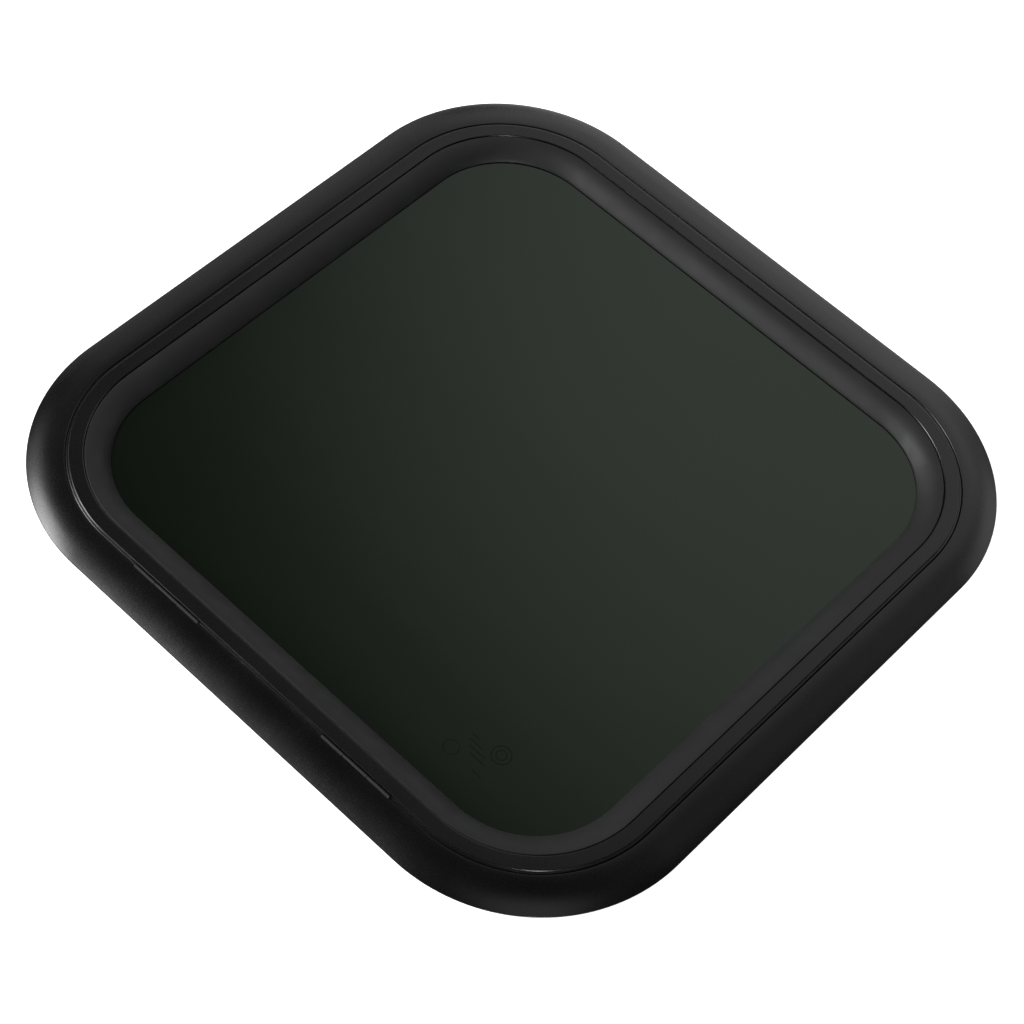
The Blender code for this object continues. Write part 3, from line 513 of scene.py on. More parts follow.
def seal_section():
    """A low foot under a bulb that is half an ellipse."""
    middle = (SEAL_OUTER + SEAL_INNER) / 2
    half = (SEAL_INNER - SEAL_OUTER) / 2
    rise = SEAL_HIGH - SEAL_LOW
    bulb = []
    for x, y in arc((0, 0), 1, math.pi, 0, SEAL_STEPS):
        bulb.append((middle + half * x, SEAL_LOW + rise * (SEAL_FOOT_SHARE + (1 - SEAL_FOOT_SHARE) * y)))
    return [(SEAL_OUTER, SEAL_LOW), *bulb, (SEAL_INNER, SEAL_LOW)]


def gasket_section():
    """Fills the flange's hollow down to the deck."""
    clearance = FLANGE_SHELL + GASKET_CLEARANCE
    stations = (GASKET_INNER, *GASKET_STATIONS, GASKET_OUTER)
    top = [(inset, crown_height(inset) - clearance) for inset in stations]
    return filleted([(GASKET_OUTER, DECK_TOP), (GASKET_INNER, DECK_TOP), *top])


def clamp_section():
    """The foot under the deck, the leg and the trim that carries the screws."""
    flat_low = CLAMP_TOP - CLAMP_THICKNESS
    trim_top = CLAMP_BOTTOM + CLAMP_THICKNESS
    return filleted([
        (CLAMP_OUTER, CLAMP_TOP, 0.0003),
        (CLAMP_LEG_INNER, CLAMP_TOP, 0.0005),
        (CLAMP_LEG_INNER, trim_top, 0.0006),
        (CLAMP_TRIM_INNER, trim_top, 0.0005),
        (CLAMP_TRIM_INNER, CLAMP_BOTTOM, 0.0010),
        (CLAMP_LEG_OUTER, CLAMP_BOTTOM, 0.0014),
        (CLAMP_LEG_OUTER, flat_low, 0.0008),
        (CLAMP_OUTER, flat_low, 0.0010),
    ], steps=FINE_FILLET_STEPS)


def tape_section():
    return filleted([
        (TAPE_OUTER, TAPE_LOW, 0.0002),
        (TAPE_OUTER, TAPE_HIGH, 0.0002),
        (TAPE_INNER, TAPE_HIGH, 0.0003),
        (TAPE_INNER, TAPE_LOW, 0.0003),
    ])


def middle_of(node):
    low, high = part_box(node)
    return (low + high) / 2


def clamp_screw_nodes():
    return [f"clamp_screw_{number:02d}" for number in range(1, CLAMP_COUNT + 1)]


def hinge_notches(bm, near, far, low, high):
    """A pocket at each hinge between two y planes."""
    for side in SIDES:
        leaf_low, leaf_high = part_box(f"hinge_{side}_base_leaf")
        add_box(bm, (leaf_low.x - FIT_GAP, near, low), (leaf_high.x + FIT_GAP, far, high))


def build_base():
    """The base frame, with hinge pockets and screw holes, and the two seals on it."""
    pockets = bmesh.new()
    near = HALF_SIDE - GROOVE_OUTER - CUT_OVER
    hinge_notches(pockets, near, HINGE_AXIS.y + NOTCH_DEPTH, LEAF_LOW - FIT_GAP, BASE_TOP + 2 * CUT_OVER)
    holes = bmesh.new()
    for node in clamp_screw_nodes():
        spot = middle_of(node)
        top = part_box(node)[1].z + FIT_GAP
        add_rod(holes, CLAMP_PILOT, BASE_BOTTOM - CUT_OVER, top, spot.x, spot.y, HOLE_SEGMENTS)
    for side in SIDES:
        for number in (1, 2):
            spot = middle_of(f"keeper_{side}_screw_{number}")
            add_hole(holes, SMALL_HOLE, LEDGE_BOTTOM, LEDGE_TOP, spot, HOLE_SEGMENTS)
            spot = middle_of(f"hinge_{side}_base_screw_{number}")
            add_cross_rod(holes, LEAF_SCREW_HOLE, spot, WALL_HOLE_LENGTH, "Y", HOLE_SEGMENTS)
    mesh = ring_mesh("base_frame", base_section())
    finished("base_frame", boolean(mesh, [("DIFFERENCE", pockets), ("DIFFERENCE", holes)]))
    finished("flange_gasket", ring_mesh("flange_gasket", gasket_section()))
    finished("compression_seal", ring_mesh("compression_seal", seal_section()))


def build_clamp_ring():
    holes = bmesh.new()
    trim_top = CLAMP_BOTTOM + CLAMP_THICKNESS
    for node in clamp_screw_nodes():
        add_hole(holes, CLAMP_HOLE, CLAMP_BOTTOM, trim_top, middle_of(node), CLAMP_SEGMENTS)
    finished("clamp_ring", boolean(ring_mesh("clamp_ring", clamp_section()), [("DIFFERENCE", holes)]))


def build_lid():
    """The lid frame, with hinge pockets and screw holes, and what holds the pane in it."""
    pockets = bmesh.new()
    far = HALF_SIDE - LIP_OUTER + CUT_OVER
    hinge_notches(pockets, HINGE_AXIS.y - NOTCH_DEPTH, far, LEAF_LOW - FIT_GAP, LID_TOP + CUT_OVER)
    holes = bmesh.new()
    for side in SIDES:
        for number in (1, 2):
            spot = middle_of(f"handle_{side}_housing_screw_{number}")
            add_hole(holes, SMALL_HOLE, LID_BOTTOM, LID_LEDGE_TOP, spot, HOLE_SEGMENTS)
            spot = middle_of(f"hinge_{side}_lid_screw_{number}")
            add_cross_rod(holes, LEAF_SCREW_HOLE, spot, WALL_HOLE_LENGTH, "Y", HOLE_SEGMENTS)
    mesh = ring_mesh("lid_frame", lid_section())
    finished("lid_frame", boolean(mesh, [("DIFFERENCE", pockets), ("DIFFERENCE", holes)]))
    finished("glazing_rubber", ring_mesh("glazing_rubber", rubber_section()))
    finished("glazing_tape", ring_mesh("glazing_tape", tape_section()))


def build_glass():
    """The pane, with its edges ground and its faces flat."""
    section = [
        (GLASS_OUTER + GLASS_CHAMFER, GLASS_LOW),
        (GLASS_OUTER, GLASS_LOW + GLASS_CHAMFER),
        (GLASS_OUTER, GLASS_HIGH - GLASS_CHAMFER),
        (GLASS_OUTER + GLASS_CHAMFER, GLASS_HIGH),
    ]
    bm = bmesh.new()
    join_loops(bm, [ring_loop(inset, height) for inset, height in section], closed=False)
    finished("glass_pane", smooth_mesh("glass_pane", bm, GLASS_SHARP_ANGLE))


def cross_recess(head, low, high):
    """The cutter of a cross recess, a star of four arms that narrows towards the recess's floor."""
    arm = head * RECESS_ARM
    blade = head * RECESS_BLADE
    corners = [(arm, -blade), (arm, blade), (blade, blade)]
    star = []
    for quarter in range(4):
        star += corners
        corners = [(-y, x) for x, y in corners]
    bm = bmesh.new()
    join_loops(bm, [
        [Vector((x, y, low)) for x, y in star],
        [Vector((x * RECESS_TAPER, y * RECESS_TAPER, high)) for x, y in star],
    ], closed=False)
    return bm


def screw_mesh(name, kind, full_length):
    """A pan-head screw that points up from its seat, with rolled threads and a cross recess."""
    shank, head, head_height, recess = kind
    length = full_length - head_height
    dome = []
    for x, y in arc((0, 0), 1, DOME_START, 0, DOME_STEPS):
        dome.append((head * x, -head_height * (DOME_RIM_SHARE + (1 - DOME_RIM_SHARE) * y)))
    pitch = shank * PITCH_SHARE
    threads = []
    height = pitch
    while height < length - 2 * pitch:
        threads += [(shank, height), (shank * THREAD_ROOT, height + pitch / 2)]
        height += pitch
    tip = [(shank * 0.8, length - pitch), (shank * 0.4, length)]
    bm = bmesh.new()
    add_turned(bm, [*dome, (head, 0), (shank * 0.98, 0), *threads, *tip], SCREW_SEGMENTS)
    low = -head_height - RECESS_OVER
    cross = cross_recess(head, low, low + RECESS_OVER + recess)
    return boolean(smooth_mesh(name, bm), [("DIFFERENCE", cross)])


def build_screws():
    """The screws that point up, each at a turn of its own."""
    kinds = [
        (CLAMP_SCREW, clamp_screw_nodes()),
        (KEEPER_SCREW, [f"keeper_{side}_screw_{number}" for side in SIDES for number in (1, 2)]),
        (HOUSING_SCREW, [f"handle_{side}_housing_screw_{number}" for side in SIDES for number in (1, 2)]),
        (HANDLE_SCREW, [f"handle_{side}_screw" for side in SIDES]),
    ]
    for number, (kind, nodes) in enumerate(kinds):
        low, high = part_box(nodes[0])
        mesh = screw_mesh(f"screw_kind_{number}", kind, high.z - low.z)
        for place, node in enumerate(nodes):
            spot = middle_of(node)
            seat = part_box(node)[0].z + kind.head_height
            turn = math.radians(SCREW_TURN * place + FIRST_SCREW_TURN)
            finished(node, mesh, (spot.x, spot.y, seat), (0, 0, turn))


def build_leaf_screws():
    """The screws of the hinge leaves, which lie along y."""
    head_height = LEAF_SCREW.head_height
    low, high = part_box("hinge_left_base_screw_1")
    mesh = screw_mesh("leaf_screw", LEAF_SCREW, high.y - low.y)
    for side in SIDES:
        for owner, toward in (("base", 1), ("lid", -1)):
            for number in (1, 2):
                node = f"hinge_{side}_{owner}_screw_{number}"
                low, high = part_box(node)
                spot = (low + high) / 2
                seat = low.y + head_height if toward > 0 else high.y - head_height
                finished(node, mesh, (spot.x, seat, spot.z), (-toward * math.pi / 2, 0, 0))


def build_leaf(side, owner):
    """A hinge leaf: a thin plate with its knuckles rolled round the pin."""
    node = f"hinge_{side}_{owner}_leaf"
    toward = 1 if owner == "base" else -1
    low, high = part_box(node)
    length = high.x - low.x
    half_inner = KNUCKLE_MIDDLE / 2
    outer = [(-length / 2, -half_inner - KNUCKLE_GAP), (half_inner + KNUCKLE_GAP, length / 2)]
    inner = [(-half_inner, half_inner)]
    own, others = (outer, inner) if owner == "base" else (inner, outer)
    near_y, far_y = sorted((toward * LEAF_FACE, toward * (LEAF_FACE + LEAF_THICKNESS)))
    bottom = LEAF_LOW - HINGE_AXIS.z
    plate = bmesh.new()
    add_box(plate, (-length / 2, near_y, bottom), (length / 2, far_y, -FIT_GAP))
    relief = bmesh.new()
    clear = KNUCKLE_RADIUS + KNUCKLE_GAP
    for start, end in others:
        add_box(relief, (start - KNUCKLE_GAP, -clear, -clear), (end + KNUCKLE_GAP, clear, clear))
    barrels = bmesh.new()
    for start, end in own:
        add_cross_rod(barrels, KNUCKLE_RADIUS, ((start + end) / 2, 0, 0), end - start)
    holes = bmesh.new()
    add_cross_rod(holes, KNUCKLE_BORE, (0, 0, 0), LEAF_BORE_SHARE * length)
    middle_x = (low.x + high.x) / 2
    for number in (1, 2):
        spot = middle_of(f"hinge_{side}_{owner}_screw_{number}")
        place = (spot.x - middle_x, toward * LEAF_FACE, spot.z - HINGE_AXIS.z)
        add_cross_rod(holes, LEAF_SCREW_HOLE, place, LEAF_HOLE_LENGTH, "Y", LEAF_HOLE_SEGMENTS)
    steps = [("DIFFERENCE", relief), ("UNION", barrels), ("DIFFERENCE", holes)]
    finished(node, boolean(smooth_mesh(node, plate), steps), (middle_x, HINGE_AXIS.y, HINGE_AXIS.z))


def build_hinges():
    for side in SIDES:
        build_leaf(side, "base")
        build_leaf(side, "lid")
        node = f"hinge_{side}_pin"
        low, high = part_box(node)
        pin = bmesh.new()
        add_cross_rod(pin, PIN_RADIUS, (0, 0, 0), high.x - low.x)
        finished(node, smooth_mesh(node, pin), (low + high) / 2)


# Handles.
HOUSING_CORNER = 0.004
HOUSING_EASE = 0.0006
SMALL_COUNTERBORE = 0.0030
COUNTERBORE_DEPTH = 0.0018
SEAT_OVERLAP = 0.0002
SPINDLE_SQUARE = 0.0054
SPINDLE_RADIUS = 0.0040
SPINDLE_COLLAR = 0.0060
SPINDLE_COLLAR_HEIGHT = 0.0014
SPINDLE_EASE = 0.0003
SPINDLE_WASHER_OVERLAP = 0.0004
HANDLE_SCREW_HOLE = 0.0020
HANDLE_SCREW_DEPTH = 0.0075
WASHER_EASE = 0.0003
TONGUE_HUB = 0.0080
TONGUE_HUB_STEPS = 40
TONGUE_HALF_WIDTH = 0.0050
TONGUE_CORNER = 0.0022
TONGUE_EASE = 0.0003
RAMP_LENGTH = 0.006
RAMP_DROP = 0.0014
RAMP_OVER = 0.0002
RAMP_HALF_WIDTH = 0.01
LEVER_HUB = 0.0100
LEVER_NECK_LENGTH = 0.004
LEVER_NECK_HALF_WIDTH = 0.0060
LEVER_TIP_HALF_WIDTH = 0.0085
LEVER_END_HALF_WIDTH = 0.0015
LEVER_TIP_RISE = 0.0039
LEVER_BELLY_RISE = 0.0009
LEVER_ROUND_LOW = 0.0022
LEVER_ROUND_HIGH = 0.0009
LEVER_ROUND_SHARE = 0.9
LEVER_STATIONS = 44
LEVER_FILLET_STEPS = 5
LEVER_BORE_SEGMENTS = 48
LEVER_COUNTERBORE = 0.0046
LEVER_COUNTERBORE_DEPTH = 0.0023
LEVER_WEB = 0.0012
KEEPER_CORNER = 0.002
KEEPER_EASE = 0.0002


def handle_axis(side):
    return Vector(next(j["pos_m"] for j in frame["joints"] if j["name"] == f"handle_{side}_turn"))


def add_square(bm, axis, low, high, half):
    add_box(bm, (axis.x - half, axis.y - half, low), (axis.x + half, axis.y + half, high))


def build_housing(side):
    node = f"handle_{side}_housing"
    low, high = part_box(node)
    axis = handle_axis(side)
    block = bmesh.new()
    add_prism(block, rounded_box_outline(low, high, HOUSING_CORNER), low.z, high.z)
    holes = bmesh.new()
    add_rod(holes, SPINDLE_RADIUS + FIT_GAP, low.z - CUT_OVER, high.z, axis.x, axis.y)
    bores = bmesh.new()
    collar_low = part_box(f"handle_{side}_spindle")[1].z - SPINDLE_COLLAR_HEIGHT - FIT_GAP
    add_rod(bores, SPINDLE_COLLAR + FIT_GAP, collar_low, high.z + CUT_OVER, axis.x, axis.y)
    for number in (1, 2):
        spot = middle_of(f"{node}_screw_{number}")
        seat = low.z + COUNTERBORE_DEPTH
        add_rod(holes, SMALL_HOLE, seat - SEAT_OVERLAP, high.z + CUT_OVER, spot.x, spot.y)
        add_rod(bores, SMALL_COUNTERBORE, low.z - CUT_OVER, seat, spot.x, spot.y)
    steps = [("DIFFERENCE", holes), ("DIFFERENCE", bores)]
    finished(node, boolean(smooth_mesh(node, block), steps, bevel=HOUSING_EASE))


def build_spindle(side):
    node = f"handle_{side}_spindle"
    low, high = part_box(node)
    axis = handle_axis(side)
    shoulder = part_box(f"handle_{side}_washer")[0].z + SPINDLE_WASHER_OVERLAP
    collar_low = high.z - SPINDLE_COLLAR_HEIGHT
    profile = [
        (SPINDLE_COLLAR - SPINDLE_EASE, high.z),
        (SPINDLE_COLLAR, high.z - SPINDLE_EASE),
        (SPINDLE_COLLAR, collar_low + SPINDLE_EASE),
        (SPINDLE_COLLAR - SPINDLE_EASE, collar_low),
        (SPINDLE_RADIUS, collar_low),
        (SPINDLE_RADIUS, shoulder),
    ]
    bm = bmesh.new()
    add_turned(bm, profile, centre=(axis.x, axis.y, 0))
    square = bmesh.new()
    add_square(square, axis, low.z, shoulder + CUT_OVER, SPINDLE_SQUARE / 2)
    tapped = bmesh.new()
    add_rod(tapped, HANDLE_SCREW_HOLE, low.z - CUT_OVER, low.z + HANDLE_SCREW_DEPTH, axis.x, axis.y)
    steps = [("UNION", square), ("DIFFERENCE", tapped)]
    finished(node, boolean(smooth_mesh(node, bm), steps))


def build_washer(side):
    node = f"handle_{side}_washer"
    low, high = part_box(node)
    axis = handle_axis(side)
    outer = (high.x - low.x) / 2
    bore = SPINDLE_RADIUS + FIT_GAP
    outline = filleted([
        (bore, high.z),
        (bore, low.z),
        (outer, low.z, WASHER_EASE),
        (outer, high.z, WASHER_EASE),
    ])
    bm = bmesh.new()
    add_turned(bm, outline, closed=True, centre=(axis.x, axis.y, 0))
    finished(node, smooth_mesh(node, bm))


def build_tongue(side):
    """The latch plate: a round hub and a blade with a ramp at its end."""
    node = f"handle_{side}_tongue"
    low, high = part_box(node)
    axis = handle_axis(side)
    toward = 1 if high.x - axis.x > axis.x - low.x else -1
    reach = max(high.x - axis.x, axis.x - low.x)
    open_angle = math.pi / 2 - math.acos(TONGUE_HALF_WIDTH / TONGUE_HUB)
    hub = arc((0, 0), TONGUE_HUB, open_angle, 2 * math.pi - open_angle, TONGUE_HUB_STEPS)
    blade = filleted([
        (TONGUE_HUB, -TONGUE_HALF_WIDTH),
        (reach, -TONGUE_HALF_WIDTH, TONGUE_CORNER),
        (reach, TONGUE_HALF_WIDTH, TONGUE_CORNER),
        (TONGUE_HUB, TONGUE_HALF_WIDTH),
    ])
    outline = [(axis.x + toward * x, axis.y + y) for x, y in hub + blade]
    bm = bmesh.new()
    add_prism(bm, outline, low.z, high.z)
    ramp = bmesh.new()
    start = axis.x + toward * (reach - RAMP_LENGTH)
    end = axis.x + toward * (reach + CUT_OVER)
    rise = [(start, high.z + RAMP_OVER), (end, high.z + RAMP_OVER), (end, high.z - RAMP_DROP)]
    ends = (axis.y - RAMP_HALF_WIDTH, axis.y + RAMP_HALF_WIDTH)
    join_loops(ramp, [[Vector((x, y, z)) for x, z in rise] for y in ends], closed=False)
    square = bmesh.new()
    add_square(square, axis, low.z - CUT_OVER, high.z + CUT_OVER, SPINDLE_SQUARE / 2 + FIT_GAP)
    steps = [("DIFFERENCE", ramp), ("DIFFERENCE", square)]
    finished(node, boolean(smooth_mesh(node, bm), steps, bevel=TONGUE_EASE))


def lever_loop(along, reach, low, high):
    """The lever's (x, z) section at this distance from the spindle's axis, a bar with rounded edges."""
    neck = LEVER_HUB + LEVER_NECK_LENGTH
    share = min(max((along - neck) / (reach - neck), 0), 1)
    width = LEVER_NECK_HALF_WIDTH + (LEVER_TIP_HALF_WIDTH - LEVER_NECK_HALF_WIDTH) * share
    if along < LEVER_HUB:
        hub = math.sqrt(max(LEVER_HUB**2 - along**2, 0))
        width = max(hub, width) if along > 0 else hub
    from_end = reach - along
    if from_end < LEVER_TIP_HALF_WIDTH:
        drop = LEVER_TIP_HALF_WIDTH - from_end
        width = min(width, math.sqrt(max(LEVER_TIP_HALF_WIDTH**2 - drop**2, 0)))
    width = max(width, LEVER_END_HALF_WIDTH)
    eased = share * share * (3 - 2 * share)
    top = high - LEVER_TIP_RISE * eased
    belly = low + LEVER_BELLY_RISE * math.sin(math.pi * share) ** 2
    round_low = min(LEVER_ROUND_LOW, width * LEVER_ROUND_SHARE)
    round_high = min(LEVER_ROUND_HIGH, width * LEVER_ROUND_SHARE)
    return filleted([
        (-width, belly, round_low),
        (width, belly, round_low),
        (width, top, round_high),
        (-width, top, round_high),
    ], steps=LEVER_FILLET_STEPS)


def build_lever(side):
    """The lever, skinned along y from its hub to its tip."""
    node = f"handle_{side}_lever"
    low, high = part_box(node)
    axis = handle_axis(side)
    reach = high.y - axis.y
    loops = []
    for station in range(LEVER_STATIONS + 1):
        eased = (1 - math.cos(math.pi * station / LEVER_STATIONS)) / 2
        along = -LEVER_HUB + (reach + LEVER_HUB) * eased
        section = lever_loop(along, reach, low.z, high.z)
        loops.append([Vector((axis.x + x, axis.y + along, z)) for x, z in section])
    bm = bmesh.new()
    join_loops(bm, loops, closed=False)
    bore_top = low.z + LEVER_COUNTERBORE_DEPTH
    socket = bmesh.new()
    add_square(socket, axis, bore_top + LEVER_WEB, high.z + CUT_OVER, SPINDLE_SQUARE / 2 + FIT_GAP)
    hole = bmesh.new()
    add_hole(hole, HANDLE_SCREW_HOLE, bore_top, bore_top + LEVER_WEB, axis)
    bore = bmesh.new()
    add_rod(bore, LEVER_COUNTERBORE, low.z - CUT_OVER, bore_top, axis.x, axis.y, LEVER_BORE_SEGMENTS)
    steps = [("DIFFERENCE", socket), ("DIFFERENCE", hole), ("DIFFERENCE", bore)]
    finished(node, boolean(smooth_mesh(node, bm), steps))


def build_keeper(side):
    node = f"keeper_{side}"
    low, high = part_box(node)
    bm = bmesh.new()
    add_prism(bm, rounded_box_outline(low, high, KEEPER_CORNER), low.z, high.z)
    holes = bmesh.new()
    for number in (1, 2):
        add_hole(holes, SMALL_HOLE, low.z, high.z, middle_of(f"{node}_screw_{number}"))
    finished(node, boolean(smooth_mesh(node, bm), [("DIFFERENCE", holes)], bevel=KEEPER_EASE))


def build_handles():
    for side in SIDES:
        build_keeper(side)
        build_housing(side)
        build_spindle(side)
        build_washer(side)
        build_tongue(side)
        build_lever(side)


# Materials. Noise scales are in cycles per metre.
GLASS_ALPHA = 0.994
GLASS_INDEX = 1.52
GLASS_TINT = (0.90, 1.0, 0.88, 1.0)


class Surface:
    """A Principled material with short calls for the procedural nodes round it."""

    def __init__(self, name, roughness, metallic=0.0, specular=0.5):
        self.material = bpy.data.materials.new(name)
        self.material.use_nodes = True
        self.tree = self.material.node_tree
        self.shader = self.tree.nodes["Principled BSDF"]
        self.shader.inputs["Roughness"].default_value = roughness
        self.shader.inputs["Metallic"].default_value = metallic
        self.shader.inputs["Specular IOR Level"].default_value = specular
        self.place = self.node("ShaderNodeTexCoord").outputs["Object"]

    def node(self, kind):
        return self.tree.nodes.new(kind)

    def link(self, output, socket):
        self.tree.links.new(output, socket)

    def stretched(self, scale):
        mapping = self.node("ShaderNodeMapping")
        mapping.inputs["Scale"].default_value = scale
        self.link(self.place, mapping.inputs["Vector"])
        return mapping.outputs["Vector"]

    def noise(self, scale, detail=3.0, roughness=0.5, place=None, distortion=0.0):
        texture = self.node("ShaderNodeTexNoise")
        texture.inputs["Scale"].default_value = scale
        texture.inputs["Detail"].default_value = detail
        texture.inputs["Roughness"].default_value = roughness
        texture.inputs["Distortion"].default_value = distortion
        self.link(place or self.place, texture.inputs["Vector"])
        return texture.outputs["Fac"]

    def cells(self, scale):
        texture = self.node("ShaderNodeTexVoronoi")
        texture.inputs["Scale"].default_value = scale
        self.link(self.place, texture.inputs["Vector"])
        return texture.outputs["Distance"]

    def ramp(self, value, low, high, out_low=0.0, out_high=1.0):
        node = self.node("ShaderNodeMapRange")
        node.interpolation_type = "SMOOTHSTEP"
        sockets = ("From Min", "From Max", "To Min", "To Max")
        for socket, number in zip(sockets, (low, high, out_low, out_high)):
            node.inputs[socket].default_value = number
        self.link(value, node.inputs["Value"])
        return node.outputs["Result"]

    def math(self, operation, first, second):
        node = self.node("ShaderNodeMath")
        node.operation = operation
        for socket, value in zip(node.inputs, (first, second)):
            if isinstance(value, (int, float)):
                socket.default_value = value
            else:
                self.link(value, socket)
        return node.outputs["Value"]

    def mix(self, share, first, second):
        node = self.node("ShaderNodeMix")
        node.data_type = "RGBA"
        self.link(share, node.inputs["Factor"])
        for socket, value in ((node.inputs["A"], first), (node.inputs["B"], second)):
            if isinstance(value, tuple):
                socket.default_value = (*value, 1.0)
            else:
                self.link(value, socket)
        return node.outputs["Result"]

    def spread(self, value, low, high, middle, reach):
        """The value's range mapped to reach on each side of the middle."""
        return self.ramp(value, low, high, middle - reach, middle + reach)

    def bump(self, height, distance, under=None):
        node = self.node("ShaderNodeBump")
        node.inputs["Distance"].default_value = distance
        self.link(height, node.inputs["Height"])
        if under:
            self.link(under, node.inputs["Normal"])
        return node.outputs["Normal"]

    def finish(self, colour, roughness=None, normal=None):
        self.link(colour, self.shader.inputs["Base Color"])
        if roughness:
            self.link(roughness, self.shader.inputs["Roughness"])
        if normal:
            self.link(normal, self.shader.inputs["Normal"])
        return self.material


def coat_material(name, dark, light, roughness, peel):
    """Satin powder coat: orange peel, fine speckle, a little dust and worn points."""
    s = Surface(name, roughness)
    cloud = s.noise(9, 3)
    speckle = s.noise(2600, 2)
    tone = s.mix(s.ramp(cloud, 0.3, 0.7), dark, light)
    dust = s.ramp(s.noise(5200, 1), 0.72, 0.80)
    patch = s.ramp(s.noise(60, 4), 0.45, 0.75)
    tone = s.mix(s.math("MULTIPLY", s.math("MULTIPLY", dust, patch), 0.25), tone, (0.12, 0.12, 0.12))
    nicks = s.ramp(s.cells(42), 0.0, 0.022, 1.0, 0.0)
    nicks = s.math("MULTIPLY", nicks, s.ramp(s.noise(14, 2), 0.56, 0.60))
    tone = s.mix(s.math("MULTIPLY", nicks, 0.8), tone, (0.20, 0.20, 0.20))
    even = s.spread(s.noise(35, 4), 0.25, 0.75, roughness, 0.012)
    rough = s.math("ADD", even, s.spread(speckle, 0.3, 0.7, 0, 0.05))
    peeled = s.bump(s.noise(620, 2), peel)
    grained = s.bump(speckle, peel * 0.35, under=peeled)
    return s.finish(tone, rough, grained)


def rubber_material(name, dark, light, roughness, grain):
    """Moulded rubber: matte, finely grained, with a trace of bloom."""
    s = Surface(name, roughness, specular=0.35)
    bloom = s.ramp(s.noise(22, 5, 0.6), 0.35, 0.75)
    fine = s.noise(1900, 3)
    tone = s.mix(bloom, dark, light)
    lint = s.ramp(s.noise(3600, 1), 0.74, 0.80)
    tone = s.mix(s.math("MULTIPLY", lint, 0.2), tone, (0.10, 0.10, 0.10))
    rough = s.spread(s.noise(90, 4), 0.3, 0.7, roughness, 0.05)
    return s.finish(tone, rough, s.bump(fine, grain))


def foam_material(name, pore_shade_tone, tone_high):
    """Closed-cell foam: dull, with open pores on its face, whose hollows are painted darker as shade."""
    s = Surface(name, 0.9, specular=0.2)
    pores = s.ramp(s.cells(900), 0.0, 0.5)
    # The pore hollows take the darker tone: painted shade in the dimples that the bump makes.
    return s.finish(s.mix(pores, pore_shade_tone, tone_high), None, s.bump(pores, 0.00012))


def steel_material(name, dark, light, roughness, scale):
    """Stainless with a fine drawn grain and faint smudges."""
    s = Surface(name, roughness, metallic=1.0)
    grain = s.noise(1, 4, 0.6, place=s.stretched(scale))
    smudge = s.noise(60, 4)
    tone = s.mix(s.ramp(grain, 0.25, 0.75), dark, light)
    smudged = s.ramp(smudge, 0.3, 0.7, roughness - 0.05, roughness + 0.08)
    rough = s.math("ADD", smudged, s.spread(grain, 0.3, 0.7, 0, 0.04))
    return s.finish(tone, rough, s.bump(grain, 0.000012))


def plastic_material(name, dark, light, roughness, grain):
    """Moulded nylon: spark-eroded texture and slight scuffs."""
    s = Surface(name, roughness)
    tone = s.mix(s.ramp(s.noise(30, 4), 0.3, 0.7), dark, light)
    texture = s.noise(1400, 4)
    scuff = s.ramp(s.noise(1, 3, place=s.stretched((500, 60, 300))), 0.64, 0.75)
    even = s.spread(s.noise(120, 3), 0.3, 0.7, roughness, 0.05)
    rough = s.math("ADD", even, s.math("MULTIPLY", scuff, -0.1))
    return s.finish(tone, rough, s.bump(texture, grain))


def glass_material(name):
    """Dark green privacy glass, nearly opaque, with a faint roller wave."""
    s = Surface(name, 0.03)
    s.shader.inputs["IOR"].default_value = GLASS_INDEX
    s.shader.inputs["Specular Tint"].default_value = GLASS_TINT
    s.shader.inputs["Alpha"].default_value = GLASS_ALPHA
    tone = s.mix(s.ramp(s.noise(3, 2), 0.3, 0.7), (0.0030, 0.0058, 0.0028), (0.0037, 0.0068, 0.0035))
    smear = s.noise(26, 5, 0.6, distortion=0.6)
    rough = s.ramp(smear, 0.35, 0.8, 0.02, 0.07)
    wave = s.noise(1, 2, place=s.stretched((2.2, 7.0, 2.0)))
    return s.finish(tone, rough, s.bump(wave, 0.0004))


# The looks of each record slot: its material's function, then what that function takes after the name.
SLOT_LOOKS = {
    "coated_frame": (coat_material, (0.0022, 0.0022, 0.0023), (0.0032, 0.0032, 0.0033), 0.24, 0.000016),
    "coated_ring": (coat_material, (0.0060, 0.0060, 0.0063), (0.0080, 0.0080, 0.0083), 0.42, 0.000035),
    "coated_hinge": (coat_material, (0.0025, 0.0025, 0.0026), (0.0035, 0.0035, 0.0036), 0.60, 0.000015),
    # In the two foam rows, the first colour is the painted shade in the pore hollows.
    "gasket_foam": (foam_material, (0.006, 0.006, 0.006), (0.016, 0.016, 0.016)),
    "seal_rubber": (rubber_material, (0.008, 0.008, 0.0085), (0.013, 0.013, 0.0135), 0.62, 0.000030),
    "glazing_rubber": (rubber_material, (0.0110, 0.0110, 0.0115), (0.0150, 0.0150, 0.0155), 0.55, 0.000040),
    "bedding_tape": (foam_material, (0.006, 0.006, 0.006), (0.010, 0.010, 0.010)),
    "tinted_glass": (glass_material,),
    "stainless_screw": (steel_material, (0.42, 0.41, 0.39), (0.58, 0.57, 0.55), 0.28, (900, 900, 200)),
    "stainless_pin": (steel_material, (0.42, 0.41, 0.40), (0.56, 0.55, 0.53), 0.24, (60, 1800, 1800)),
    "stainless_plate": (steel_material, (0.40, 0.39, 0.37), (0.60, 0.59, 0.56), 0.30, (1500, 60, 400)),
    "black_plastic": (plastic_material, (0.010, 0.010, 0.0105), (0.016, 0.016, 0.0165), 0.48, 0.000035),
    "acetal_washer": (plastic_material, (0.62, 0.61, 0.57), (0.72, 0.71, 0.67), 0.45, 0.00001),
}
slot_materials = {}


def slot_material(slot):
    """The material of a record slot, made once."""
    if slot not in slot_materials:
        make, *looks = SLOT_LOOKS[slot]
        slot_materials[slot] = make(slot, *looks)
    return slot_materials[slot]


